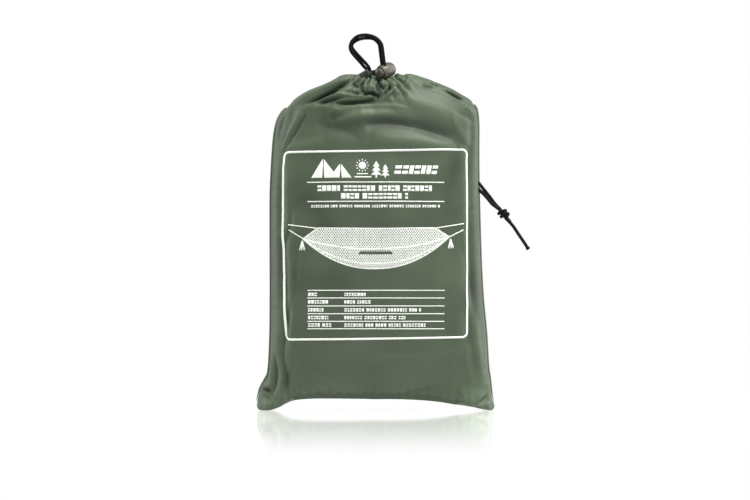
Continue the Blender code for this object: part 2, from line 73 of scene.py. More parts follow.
def setCamera():
    # a long lens, level and straight in front
    data = bpy.data.cameras.new("studioCamera")
    cam = bpy.data.objects.new("studioCamera", data)
    bpy.context.scene.collection.objects.link(cam)
    data.lens = view["lens"]
    data.sensor_width = view["lens"] * view["width"] / view["distance"]
    cam.location = (view["across"], -view["distance"], view["height"])
    cam.rotation_euler = (math.radians(90), 0, 0)
    data.clip_end = 50
    bpy.context.scene.camera = cam


def newMaterial(name):
    # a node material, with its nodes, its links and its main shader
    mat = bpy.data.materials.new(name)
    mat.use_nodes = True
    return mat, mat.node_tree.nodes, mat.node_tree.links, mat.node_tree.nodes["Principled BSDF"]


def setStudio():
    # a white backdrop, a dimmer sky that lights the object, four soft lamps and a pale floor that mirrors
    world = bpy.data.worlds.new("studio")
    bpy.context.scene.world = world
    world.use_nodes = True
    nodes, links = world.node_tree.nodes, world.node_tree.links
    seen = nodes["Background"]
    seen.inputs["Color"].default_value = (1, 1, 1, 1)
    seen.inputs["Strength"].default_value = 1.0
    lit = nodes.new("ShaderNodeBackground")
    lit.inputs["Color"].default_value = (1, 1, 1, 1)
    lit.inputs["Strength"].default_value = 0.30
    ray = nodes.new("ShaderNodeLightPath")
    pick = nodes.new("ShaderNodeMixShader")
    links.new(ray.outputs["Is Camera Ray"], pick.inputs[0])
    links.new(lit.outputs[0], pick.inputs[1])
    links.new(seen.outputs[0], pick.inputs[2])
    links.new(pick.outputs[0], nodes["World Output"].inputs["Surface"])
    for name, place, size, power, tone in (
        ("keySoftbox", (0.42, -0.50, 1.35), (0.6, 0.4), 25, (1, 0.99, 0.97)),
        ("lowFill", (0.1, -1.5, 0.11), (1.2, 0.16), 5.5, (0.98, 1, 1)),
        ("rimLeft", (-1.0, 0.12, 0.35), (0.5, 1.3), 10, (1, 1, 1)),
        ("rimRight", (1.0, 0.12, 0.35), (0.5, 1.3), 12, (1, 1, 1)),
    ):
        data = bpy.data.lights.new(name, "AREA")
        data.shape = "RECTANGLE"
        data.size, data.size_y = size
        data.energy = power
        data.color = tone
        light = bpy.data.objects.new(name, data)
        bpy.context.scene.collection.objects.link(light)
        light.location = place
        light.rotation_euler = (Vector((0, 0, 0.15)) - Vector(place)).to_track_quat("-Z", "Y").to_euler()
    mesh = bpy.data.meshes.new("studioFloor")
    mesh.from_pydata([(-30, -30, 0), (30, -30, 0), (30, 30, 0), (-30, 30, 0)], [], [(0, 1, 2, 3)])
    floor = bpy.data.objects.new("studioFloor", mesh)
    bpy.context.scene.collection.objects.link(floor)
    mat, nodes, links, shader = newMaterial("paleFloor")
    nodes.remove(shader)
    diffuse = nodes.new("ShaderNodeBsdfDiffuse")
    diffuse.inputs["Color"].default_value = (0.93, 0.93, 0.93, 1)
    gloss = nodes.new("ShaderNodeBsdfGlossy")
    gloss.inputs["Roughness"].default_value = 0.06
    # the room that the floor mirrors is dimmed, so its gloss is raised to stay as white as the backdrop
    gloss.inputs["Color"].default_value = (3.3, 3.3, 3.3, 1)
    mix = nodes.new("ShaderNodeMixShader")
    # the gloss is only for the view: the object is lit by the plain pale floor
    seenBy = nodes.new("ShaderNodeLightPath")
    glossShare, paleShare = nodes.new("ShaderNodeMath"), nodes.new("ShaderNodeMath")
    for share, factor, base in ((glossShare, 0.52, 0.0), (paleShare, 0.33, 0.6)):
        share.operation = "MULTIPLY_ADD"
        share.inputs[1].default_value = factor
        share.inputs[2].default_value = base
        links.new(seenBy.outputs["Is Camera Ray"], share.inputs[0])
    glow = nodes.new("ShaderNodeEmission")
    glow.inputs["Color"].default_value = (1, 1, 1, 1)
    glow.inputs["Strength"].default_value = 1.0
    pale = nodes.new("ShaderNodeMixShader")
    links.new(paleShare.outputs[0], pale.inputs[0])
    links.new(diffuse.outputs[0], pale.inputs[1])
    links.new(glow.outputs[0], pale.inputs[2])
    links.new(glossShare.outputs[0], mix.inputs[0])
    links.new(pale.outputs[0], mix.inputs[1])
    links.new(gloss.outputs[0], mix.inputs[2])
    # the floor fades out round the object, so that it has no horizon
    coords = nodes.new("ShaderNodeTexCoord")
    reach = nodes.new("ShaderNodeVectorMath")
    reach.operation = "LENGTH"
    links.new(coords.outputs["Object"], reach.inputs[0])
    fade = nodes.new("ShaderNodeMapRange")
    fade.interpolation_type = "SMOOTHSTEP"
    fade.inputs["From Min"].default_value = 0.2
    fade.inputs["From Max"].default_value = 0.7
    links.new(reach.outputs["Value"], fade.inputs["Value"])
    clear = nodes.new("ShaderNodeBsdfTransparent")
    blend = nodes.new("ShaderNodeMixShader")
    links.new(fade.outputs["Result"], blend.inputs[0])
    links.new(mix.outputs[0], blend.inputs[1])
    links.new(clear.outputs[0], blend.inputs[2])
    links.new(blend.outputs[0], nodes["Material Output"].inputs["Surface"])
    mesh.materials.append(mat)


setCamera()
setStudio()
bpy.context.scene.view_settings.view_transform = "Standard"
print("stage set")


def smoothLine(points, count):
    # Catmull-Rom through the points, then spaced evenly along its length
    p = np.array(points, float)
    p = np.vstack([2 * p[0] - p[1], p, 2 * p[-1] - p[-2]])
    t = np.linspace(0, 1, 24, endpoint=False)[None, :, None]
    a, b, c, d = (p[k:len(p) - 3 + k][:, None, :] for k in range(4))
    dense = 0.5 * (2 * b + (c - a) * t + (2 * a - 5 * b + 4 * c - d) * t**2 + (3 * b - a - 3 * c + d) * t**3)
    dense = np.vstack([dense.reshape(-1, p.shape[1]), p[-2]])
    along = np.concatenate([[0], np.cumsum(np.linalg.norm(np.diff(dense, axis=0), axis=1))])
    want = np.linspace(0, along[-1], count)
    return np.column_stack([np.interp(want, along, dense[:, k]) for k in range(dense.shape[1])])


def meshPiece(name, points, faces, mat):
    # a smooth-shaded mesh from points in mm and a list of faces
    mesh = bpy.data.meshes.new(name)
    mesh.from_pydata((np.asarray(points, float).reshape(-1, 3) * mm).tolist(), [], faces)
    mesh.polygons.foreach_set("use_smooth", [True] * len(mesh.polygons))
    mesh.update()
    mesh.materials.append(mat)
    ob = bpy.data.objects.new(name, mesh)
    bpy.context.scene.collection.objects.link(ob)
    return ob


def rideSack(ob, slotName, *nodes):
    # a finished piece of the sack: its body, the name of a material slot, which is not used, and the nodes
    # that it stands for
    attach(ob, "sack")
    if nodes:
        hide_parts(*nodes)


def gridFaces(rows, cols, closed=False, flip=False):
    # quads between neighbouring rows and columns; closed joins the last column to the first
    r, c = np.meshgrid(np.arange(rows - 1), np.arange(cols if closed else cols - 1), indexing="ij")
    n = (c + 1) % cols
    f = np.stack([r * cols + c, r * cols + n, (r + 1) * cols + n, (r + 1) * cols + c], -1).reshape(-1, 4)
    return f[:, ::-1] if flip else f


def tubeFaces(rows, sides, flip=False):
    # quads between the rings, and a fan at each end to the two points that follow them
    k = np.arange(sides)
    n = (k + 1) % sides
    final = (rows - 1) * sides
    start = np.column_stack([np.full(sides, rows * sides), n, k])
    end = np.column_stack([np.full(sides, rows * sides + 1), final + k, final + n])
    fans = np.vstack([start, end])
    if flip:
        fans = fans[:, ::-1]
    return gridFaces(rows, sides, closed=True, flip=flip).tolist() + fans.tolist()


def setUv(ob, u, v):
    # one UV pair for each vertex, copied to its corners
    mesh = ob.data
    layer = mesh.uv_layers.new(name="UVMap")
    index = np.empty(len(mesh.loops), np.int32)
    mesh.loops.foreach_get("vertex_index", index)
    uv = np.column_stack([np.ravel(u)[index], np.ravel(v)[index]])
    layer.data.foreach_set("uv", uv.ravel())


def step(x, a, b):
    # 0 below a, 1 above b, with a smooth rise between them
    t = np.clip((x - a) / (b - a), 0, 1)
    return t * t * (3 - 2 * t)


# the sack's outline from the front, x and z in mm
outline = dict(
    left=[(-107.6, 3.6), (-106.4, 12.0), (-104.0, 19.8), (-100.2, 27), (-96.8, 35), (-95.2, 60),
          (-94.6, 100), (-94.7, 185), (-93.8, 214), (-92.5, 236), (-91.0, 250), (-88.6, 260),
          (-84.4, 267.4), (-80.4, 271.2)],
    right=[(107.6, 3.6), (105.0, 12.0), (103.8, 20), (102.8, 29), (101.2, 41), (99.4, 70), (96.6, 99),
           (94.9, 128), (93.6, 165), (92.6, 204), (92.4, 236), (92.4, 256), (91.2, 269), (88.4, 274.6)],
    top=[(-80.4, 271.2), (-75.4, 275.8), (-68, 281.2), (-60.1, 286.2), (-50, 291.2), (-40.3, 295.2),
         (-30, 298.8), (-20, 299.4), (-8, 298.0), (6, 297.4), (18, 298.4), (32.4, 299.8), (41, 297.8),
         (49.5, 295.2), (66.6, 288.2), (78, 282.6), (85.4, 278.4), (88.4, 274.6)],
    bottom=[(-107.6, 3.6), (-104.6, 0.5), (-96, 0.3), (-88, 2.2), (-80.6, 6.0), (-71, 9.2), (-50, 10.4),
            (0, 9.8), (31, 9.4), (58, 7.2), (80, 3.8), (94, 1.6), (101, 0.5), (105.4, 0.4), (107.6, 3.6)],
)
sack = dict(flatWide=190.0, flatHigh=285.0, belly=0.25, neck=0.5, crossPower=2.35, seamHalf=0.3,
            hemHeight=4.2, hemHalf=1.1, hemBelow=0.06, mouthHalf=3.4, rollHalf=3.4, lipAbove=0.05,
            lipDrop=9.0, footReach=17.5, footDepth=19.0)
scaleX, scaleZ = baseHalf / 107.75, neckTop / 299.0
edges = {k: smoothLine(np.array(v) * (scaleX, scaleZ), 400) for k, v in outline.items()}


def alongEdge(name, share):
    # the point at a share of an edge line, from its first point to its last
    line = edges[name]
    place = np.clip(share, 0, 1) * (len(line) - 1)
    return np.stack([np.interp(place, np.arange(len(line)), line[:, k]) for k in (0, 1)], -1)


def hemTopLine(u):
    # the bottom edge raised by the hem's height, which fades in from the corners
    line = alongEdge("bottom", u)
    lift = sack["hemHeight"] * step(baseHalf - np.abs(line[..., 0]), 8, 52)
    return line + np.stack([0 * lift, lift], -1)


def flatPlace(u, v):
    # Coons patch: x and z between the bottom, top, left and right edges
    w, h = u[..., None], v[..., None]
    low, high = hemTopLine(u), alongEdge("top", u)
    left, right = alongEdge("left", v), alongEdge("right", v)
    c00, c10 = edges["left"][0], edges["right"][0]
    c01, c11 = edges["left"][-1], edges["right"][-1]
    return ((1 - h) * low + h * high + (1 - w) * left + w * right
            - ((1 - w) * (1 - h) * c00 + w * (1 - h) * c10 + (1 - w) * h * c01 + w * h * c11))


def footDepth(x):
    # half the depth of the folded corner under the sack: an ellipse in plan
    t = (np.abs(x) - (baseHalf - sack["footReach"])) / sack["footReach"]
    return sack["footDepth"] * np.sqrt(np.clip(1 - t * t, 0, 1))


def sackBase(u, v, side):
    # superellipse across, quarter ellipses at the belly and the neck, feet at the two corners;
    # below v = 0 the hem or sole, above v = 1 the lip turned down inside the mouth
    core = np.clip(v, 0, 1)
    flat = flatPlace(u, core)
    x, z = flat[..., 0], flat[..., 1]
    wide = np.clip(1 - np.abs(2 * u - 1) ** sack["crossPower"], 0, 1) ** (1 / 2.1)
    low = np.clip(1 - (1 - np.minimum(core / sack["belly"], 1)) ** 2, 0, 1) ** 0.66
    high = np.sqrt(np.clip(1 - np.clip((core - sack["neck"]) / (1 - sack["neck"]), 0, 1) ** 2, 0, 1))
    mouth = sack["mouthHalf"] / depthHalf * step(np.abs(x - 4), 54, 24)
    full = (depthHalf - 1.5) * wide * low * (mouth + (1 - mouth) * high)
    foot = footDepth(x) * np.sqrt(wide) * (1 - step(core, 0.0, 0.11))
    y = np.maximum(sack["seamHalf"] + np.sqrt(full**2 + foot**2), sack["hemHalf"] * np.minimum(1, wide * 4))
    # the hem round the mouth is a sleeve with the cord in it
    roll = np.sqrt(np.clip(1 - ((core - 0.979) / 0.022) ** 2, 0, 1)) * np.minimum(1, wide * 2.6)
    y = np.maximum(y, sack["rollHalf"] * roll)
    hem = np.clip(-v / sack["hemBelow"], 0, 1)
    hemHalf = sack["hemHalf"] * (1 - hem**6)
    under = (sack["seamHalf"] + footDepth(x) * np.sqrt(wide)) * (1 - hem)
    y = np.where(v < 0, np.maximum(hemHalf * np.minimum(1, wide * 4), under), y)
    bottom = alongEdge("bottom", u)
    z = np.where(v < 0, z + (bottom[..., 1] - z) * hem, z)
    lip = np.clip((v - 1) / sack["lipAbove"], 0, 1)
    roll = np.minimum(lip / 0.3, 1) * math.pi
    y = np.where(v > 1, y - 0.9 * wide * (1 - np.cos(roll)), y)
    drop = np.clip((lip - 0.3) / 0.7, 0, 1) * sack["lipDrop"] * wide
    z = np.where(v > 1, z + 0.8 * np.sin(roll) * wide - drop, z)
    rim = step(core, 0.93, 1.0)
    # the back rim stands up either side of the lock, and both rims dip under it
    behind = (6.4 * np.exp(-((x + 8) / 7.5) ** 2) + 4.2 * np.exp(-((x - 21) / 5.5) ** 2)
              + 2.6 * np.exp(-((x - 8.5) / 5) ** 2))
    before = -1.4 * np.exp(-((x - 2) / 7) ** 2) + 1.2 * np.exp(-((x + 30) / 8) ** 2)
    z = z + rim * np.where(side > 0, behind, before)
    y = y + rim * np.where(side > 0, 5.5, 0.5) * np.exp(-((x - 7) / 14) ** 2)
    return np.stack([x, side * y, z], -1)


# each fold: points (x, z) along it, its width on the upper or left side, its width on the other side,
# and its height, which is negative for a valley
foldsFront = [
    # left of the mouth: a deep wedge between two ridges
    ([(-66, 273.4), (-50, 281.4), (-34, 289.6), (-21, 296.4)], 1.9, 2.5, -5.4),
    ([(-72, 276.6), (-50, 288), (-28, 297.4)], 2.6, 1.6, 2.4),
    ([(-62, 273.2), (-46, 279.6), (-33, 283.4), (-24, 287.5)], 1.3, 1.2, 2.2),
    ([(-56, 272.6), (-44, 277.6), (-33, 280.4), (-21, 282.6)], 1.2, 1.6, -3.0),
    ([(-46, 278.8), (-30, 281.8), (-8, 281.2)], 1.8, 1.3, 2.6),
    # the long tuck under the gathers, with a bright crease below it
    ([(-39.5, 275.2), (-22, 275.6), (-6, 277.2), (0.6, 280.6)], 1.5, 2.0, -4.6),
    ([(-38, 268.8), (-22, 271.4), (0, 273.6), (14, 273.2), (26, 271)], 1.2, 3.0, 2.2),
    ([(-40, 259.6), (-22, 262.8), (0, 264.6), (14, 264), (29, 260.8)], 7.4, 4.2, 4.2),
    ([(-40, 276), (-36.5, 271), (-31, 268)], 2.2, 2.6, 1.6),
    # the knot of folds in the middle
    ([(-12, 283.4), (-4, 284.4), (3.6, 281.6)], 1.2, 1.7, -4.2),
    ([(3, 294.6), (6.4, 289), (10.4, 295)], 1.1, 1.3, -3.2),
    ([(13.6, 295.4), (12.2, 288.6), (6.6, 281.8)], 1.1, 1.3, -3.6),
    ([(17, 294), (15.2, 288), (10, 282.6)], 1.0, 1.0, 1.8),
    ([(-20.6, 295.2), (-17.6, 290.2), (-14.4, 294.2)], 1.1, 1.2, -3.0),
    ([(-11, 294.6), (-12.6, 288), (-10.6, 284.6)], 1.2, 1.3, -3.2),
    ([(-24, 285), (-17, 283.4), (-12, 286)], 1.4, 1.7, -2.4),
    ([(-9, 293), (-4, 291.2), (0, 293.4)], 2.0, 2.6, 1.4),
    ([(20, 297.6), (23.6, 293.6), (27.4, 297.2)], 1.2, 1.4, -3.0),
    # the clean diagonal ridge to the right of the gathers
    ([(32, 300), (26.6, 295), (19, 289.4), (12, 283), (4.6, 277.4)], 1.0, 3.6, 3.4),
    ([(27, 296.4), (19, 290.4), (11, 284.6), (5, 279.4)], 1.5, 0.9, -3.0),
    ([(19, 280), (24, 283), (24, 278)], 3.0, 3.4, -1.3),
    ([(18, 280), (34, 277.4), (54, 270), (76, 258)], 13.0, 9.0, 3.8),
    ([(42, 292.0), (46, 290.8), (53, 290.2)], 1.0, 1.3, 2.2),
    ([(47.4, 293.8), (51, 292.8), (55, 291.6)], 1.2, 1.1, -5.0),
    ([(61, 287.4), (70, 283.2), (79, 278.6)], 1.2, 1.2, -4.6),
    ([(80, 274), (84, 270.4), (87, 266)], 2.4, 3.0, 1.6),
    # broad shallow slopes below the mouth
    ([(-56, 258), (-34, 254), (-8, 246)], 9.0, 8.0, -2.8),
    ([(-14, 256), (14, 257.4), (38, 253.4), (60, 246.6), (73, 240)], 7.0, 4.6, -3.6),
    ([(-8, 246), (14, 242), (44, 239.6), (76, 234)], 6.0, 7.0, 2.9),
    ([(-66, 272.4), (-52, 273.4), (-38, 270.4)], 2.2, 3.4, 1.9),
    ([(-76, 236), (-60, 238), (-44, 241)], 6.0, 7.0, 1.8),
    ([(-45, 262), (-36, 262.6), (-24, 264.6)], 3.0, 3.6, -1.6),
    # the left shoulder
    ([(-66.4, 270.6), (-73, 257), (-79, 244), (-84, 232)], 2.8, 1.6, 2.5),
    ([(-61.2, 269.4), (-68, 257), (-76, 243), (-81.4, 233)], 1.5, 3.0, -2.6),
    ([(-80, 268), (-85.4, 254), (-87.6, 240)], 2.0, 2.2, -1.2),
    ([(84, 268), (86, 250), (84, 225)], 3.0, 3.0, -1.2),
    # the sides
    ([(-81.6, 232), (-83.4, 190), (-82, 150), (-80, 95), (-79.6, 62), (-80.8, 28)], 2.6, 3.6, -1.5),
    ([(-89, 240), (-90, 180), (-89, 120), (-89.4, 66)], 3.5, 3.5, 1.0),
    ([(82, 236), (83.6, 200), (84.6, 150), (86, 110), (90, 66)], 4.0, 3.2, -1.7),
    ([(-76, 96), (-82.6, 62), (-83, 40), (-80.6, 26)], 2.4, 3.0, -2.2),
    # the folded corners
    ([(-94, 58), (-94.8, 38), (-95, 24)], 1.5, 1.8, 2.4),
    ([(-86.4, 46), (-84.2, 30), (-86.8, 13)], 1.5, 2.0, 2.6),
    ([(-89.6, 50), (-89.6, 30), (-92, 15)], 1.7, 1.7, -3.0),
    ([(-79.4, 36), (-80.6, 22), (-78, 12)], 2.6, 3.4, -1.8),
    ([(-105, 20.2), (-98, 19.0), (-93, 16.4)], 1.5, 1.7, -4.4),
    ([(-103, 9.6), (-96, 6), (-89, 8)], 4.0, 4.0, 2.4),
    ([(-101, 14.6), (-96.6, 11.4), (-92.6, 5)], 1.0, 1.2, -1.6),
    ([(88, 92), (92.4, 56), (97, 24)], 2.6, 3.6, 1.2),
    ([(80, 98), (85, 60), (91.6, 24)], 3.4, 4.4, -1.3),
    ([(103, 17), (97, 10), (90, 5)], 1.6, 2.0, -2.4),
    ([(105, 9), (100, 5.4), (95, 4)], 1.6, 2.0, 1.6),
    # slow waves over the printed middle
    ([(-52, 13), (-32, 19), (-12, 25)], 3.0, 5.0, 0.8),
    ([(30, 16), (62, 13), (88, 8)], 3.0, 5.0, 0.8),
    ([(-70, 44), (-20, 52), (34, 46), (74, 56)], 9.0, 9.0, 1.1),
    ([(-60, 222), (-20, 214), (24, 219)], 14.0, 12.0, 1.2),
    ([(-72, 120), (-40, 104), (0, 98)], 14.0, 14.0, -1.0),
    ([(20, 130), (60, 120), (84, 126)], 14.0, 14.0, 1.1),
    ([(-70, 196), (-52, 176), (-46, 150)], 9.0, 12.0, -1.5),
    ([(76, 232), (62, 200), (70, 168)], 10.0, 9.0, -1.2),
]
foldsBack = [
    ([(-62, 276), (-40, 284), (-14, 292)], 1.8, 2.6, -2.6),
    ([(-50, 272), (-30, 279), (-8, 286)], 2.4, 2.2, 2.0),
    ([(60, 281), (40, 285), (16, 292)], 1.7, 2.6, -2.8),
    ([(52, 274), (34, 279), (12, 285)], 2.6, 2.0, 2.0),
    ([(-30, 268), (0, 274), (28, 269)], 3.0, 6.0, 2.6),
    ([(-60, 256), (-20, 262), (30, 259), (62, 250)], 9.0, 7.0, -2.4),
    ([(-66, 244), (-10, 248), (58, 240)], 8.0, 8.0, 2.0),
    ([(74, 270), (82, 252), (86, 230)], 3.0, 3.5, -1.6),
    ([(-76, 268), (-84, 250), (-87, 226)], 3.0, 3.5, -1.6),
    ([(82, 226), (84, 170), (83, 110), (88, 50)], 4.0, 4.5, -1.0),
    ([(-84, 220), (-86, 160), (-84, 90), (-86, 40)], 4.0, 4.5, -1.0),
    ([(-60, 210), (-10, 196), (50, 206)], 13.0, 12.0, 0.9),
    ([(-70, 150), (-30, 134), (20, 140), (70, 126)], 13.0, 14.0, -0.9),
    ([(-50, 84), (0, 74), (54, 82)], 12.0, 14.0, 0.9),
    ([(-90, 40), (-86, 24), (-90, 12)], 2.0, 2.5, -1.8),
    ([(96, 40), (90, 24), (94, 12)], 2.0, 2.5, -1.8),
    ([(102, 20), (96, 17), (90, 13)], 1.8, 2.2, -2.4),
    ([(-40, 14), (-16, 20), (6, 16)], 3.0, 5.0, 0.7),
]


def foldHeight(x, z, folds):
    # distance to each fold's line, a bell on either side of it, tapered to nothing at both ends
    total = np.zeros_like(x)
    for points, widthA, widthB, height in folds:
        line = smoothLine(points, 24)
        reach = 3 * max(widthA, widthB)
        near = ((x > line[:, 0].min() - reach) & (x < line[:, 0].max() + reach)
                & (z > line[:, 1].min() - reach) & (z < line[:, 1].max() + reach))
        px, pz = x[near], z[near]
        if px.size == 0:
            continue
        best = np.full(px.shape, 1e9)
        signed, share = np.zeros(px.shape), np.zeros(px.shape)
        for k in range(len(line) - 1):
            a, d = line[k], line[k + 1] - line[k]
            t = np.clip(((px - a[0]) * d[0] + (pz - a[1]) * d[1]) / (d @ d), 0, 1)
            ox, oz = px - a[0] - t * d[0], pz - a[1] - t * d[1]
            dist = np.hypot(ox, oz)
            closer = dist < best
            best = np.where(closer, dist, best)
            signed = np.where(closer, np.sign(d[0] * oz - d[1] * ox) * dist, signed)
            share = np.where(closer, (k + t) / (len(line) - 1), share)
        width = np.where(signed > 0, widthA, widthB)
        ends = np.sin(np.pi * np.clip(share, 0.04, 0.96)) ** 0.7
        total[near] += height * np.exp(-((best / width) ** 2)) * ends
    return total


def looseCreases(seed, count, calm):
    # short soft creases at random: upright at the sides, fanning out of the mouth, level near the bottom;
    # fewer and lower in the calm middle
    rng = np.random.default_rng(seed)
    found = []
    for k in range(count):
        x, z = rng.uniform(-90, 90), rng.uniform(16, 285)
        middle = (abs(x) < 78) and (60 < z < 240)
        if middle and rng.uniform() < calm:
            continue
        mouthward = np.array([x * 0.9 - 3, z - 330.0])
        mouthward /= np.linalg.norm(mouthward)
        upright, level = np.array([0.05, 1.0]), np.array([1.0, 0.12 * np.sign(x)])
        share = step(z, 190, 270)
        way = share * -mouthward + (1 - share) * (upright if abs(x) > 66 else level)
        way = way / np.linalg.norm(way) + rng.normal(0, 0.25, 2)
        length = rng.uniform(9, 30) * (1.3 if not middle else 1.0)
        bend = np.array([-way[1], way[0]]) * rng.normal(0, 0.12) * length
        reach = way * length
        ends = [(x - reach[0], z - reach[1]), (x + bend[0], z + bend[1]), (x + reach[0], z + reach[1])]
        width = rng.uniform(1.6, 4.2)
        otherWidth = width * rng.uniform(1.0, 1.9)
        height = rng.choice([-1, 1]) * rng.uniform(0.35, 1.0) * (0.7 if middle else 1.0)
        found.append((ends, width, otherWidth, height))
    return found


creases = {-1: looseCreases(5, 44, 0.8), 1: looseCreases(17, 110, 0.25)}


def ripple(x, z, seed, count, wave):
    # a sum of plane waves in many directions, with a fixed seed
    rng = np.random.default_rng(seed)
    total = np.zeros_like(x)
    for k in range(count):
        angle = rng.uniform(0, math.pi)
        length = wave * rng.uniform(0.7, 1.6)
        phase = rng.uniform(0, 2 * math.pi)
        bend = 2.0 * np.sin((x * math.sin(angle) - z * math.cos(angle)) / (length * 0.9) + phase * 2)
        run = x * math.cos(angle) + z * math.sin(angle)
        total += np.sin(run * 2 * math.pi / length + phase + bend * 0.5)
    return total / math.sqrt(count)


def surfaceHeight(x, z, u, v, side):
    # how far the cloth stands out from the full form, in mm
    seed = 3 if side < 0 else 11
    h = foldHeight(x, z, (foldsFront if side < 0 else foldsBack) + creases[side])
    h += 0.5 * ripple(x, z, seed, 9, 46)
    h += 0.12 * ripple(x, z, seed + 1, 12, 15) * (0.5 + step(np.abs(x), 50, 90))
    # puckers across the side seams and the hem
    edge = np.exp(-(np.minimum(u, 1 - u) * sack["flatWide"] / 7.0) ** 1.2)
    pucker = np.sin(z * 2 * math.pi / 9.5 + 1.6 * np.sin(z / 21 + seed))
    h += edge * 0.55 * pucker * (0.6 + 0.4 * np.sin(z / 13))
    hem = np.exp(-(v * sack["flatHigh"] / 9.0)) * step(v, -0.001, 0.012)
    h += hem * 0.7 * np.sin(x * 2 * math.pi / 8.2 + 1.3 * np.sin(x / 17))
    # gathers that fan out below the cinched mouth
    centre = 2.0
    fan = np.arctan2(x - centre, 318 - z)
    spread = np.exp(-((x - centre) / 30) ** 2)
    near = step(z, 270, 296) * spread
    pleat = np.abs(np.sin(fan * 13 + 1.2 * np.sin(fan * 5 + seed) + seed)) ** 0.8 - 0.6
    fine = np.sin(fan * 34 + 2.2 * np.sin(z / 3.6 + seed) + seed) * step(z, 277, 291)
    strength = 0.95 if side < 0 else 1.2
    h += near * strength * (3.4 * pleat + 0.9 * fine)
    h += 0.7 * near * ripple(x, z, seed + 5, 8, 8)
    wide = step(z, 262, 298) * step(np.abs(x - centre), 84, 40)
    h += wide * 0.7 * np.sin(fan * 9.5 + 0.8 * np.sin(z / 9) + seed)
    return h * (1 - np.abs(2 * u - 1) ** 22)


def sackPoint(u, v, side, shade=None):
    # the full form plus the height along its normal; hem and lip move with the edge that they hang from;
    # shade, when given, collects the painted shade and painted highlight for each point
    core = np.clip(v, 0.0, 1.0)
    e = 0.0015
    here = sackBase(u, core, side)
    across = sackBase(np.clip(u + e, 0, 1), core, side) - sackBase(np.clip(u - e, 0, 1), core, side)
    inner = np.clip(core, 0.004, 0.985)
    up = sackBase(u, np.clip(inner + e, 0, 1), side) - sackBase(u, np.clip(inner - e, 0, 1), side)
    normal = np.cross(across, up)
    normal /= np.maximum(np.linalg.norm(normal, axis=-1, keepdims=True), 1e-9)
    normal[..., 1] = side * np.abs(normal[..., 1])
    flipX = np.sign(normal[..., 0]) != np.sign(2 * u - 1)
    normal[..., 0] = np.where(flipX, -normal[..., 0], normal[..., 0])
    height = surfaceHeight(here[..., 0], here[..., 2], u, core, side)
    if shade is not None:
        # painted shade on the cloth turned down inside the mouth
        inside = step(v, 1.012, 1.03) * step(np.abs(here[..., 0] - 2), 60, 20)
        # a painted highlight along the rim of the mouth
        rimLight = np.exp(-(((v - 0.998) / 0.007) ** 2)) * step(np.abs(here[..., 0] - 2), 60, 20)
        # painted shade in the gathers below the mouth, on the front only
        gatherShadeMask = np.exp(-((here[..., 0] + 4) / 26) ** 2) * step(here[..., 2], 276, 286) * (side < 0)
        # painted shade and highlight: where the cloth dips in it is painted darker, where it stands out
        # lighter
        paintedTone = height * (1 + 0.8 * gatherShadeMask) - 1.6 * gatherShadeMask
        # painted light and shade: the cloth is painted a little paler low down, and painted darker where it
        # turns away on the right
        paintedTone = paintedTone + 0.9 * (1 - step(here[..., 2], 18, 80)) * (side < 0)
        paintedTone = paintedTone - 0.9 * np.exp(-((here[..., 0] - 72) / 12) ** 2) * step(here[..., 2], 40, 80) * (side < 0)
        shade.append(paintedTone * (1 - inside) - 3.6 * inside + 1.8 * rimLight)
    calm = np.where(v < 0, 0.35, 1.0)
    moved = sackBase(u, v, side) + normal * (height * calm)[..., None]
    moved[..., 1] = side * np.maximum(side * moved[..., 1], 0.02)
    moved[..., 2] = np.maximum(moved[..., 2], 0.15)
    return moved


def eased(count, power=0.62):
    # shares from 0 to 1, closer together at both ends
    t = np.linspace(0, 1, count)
    return power * t + (1 - power) * (1 - np.cos(math.pi * t)) / 2


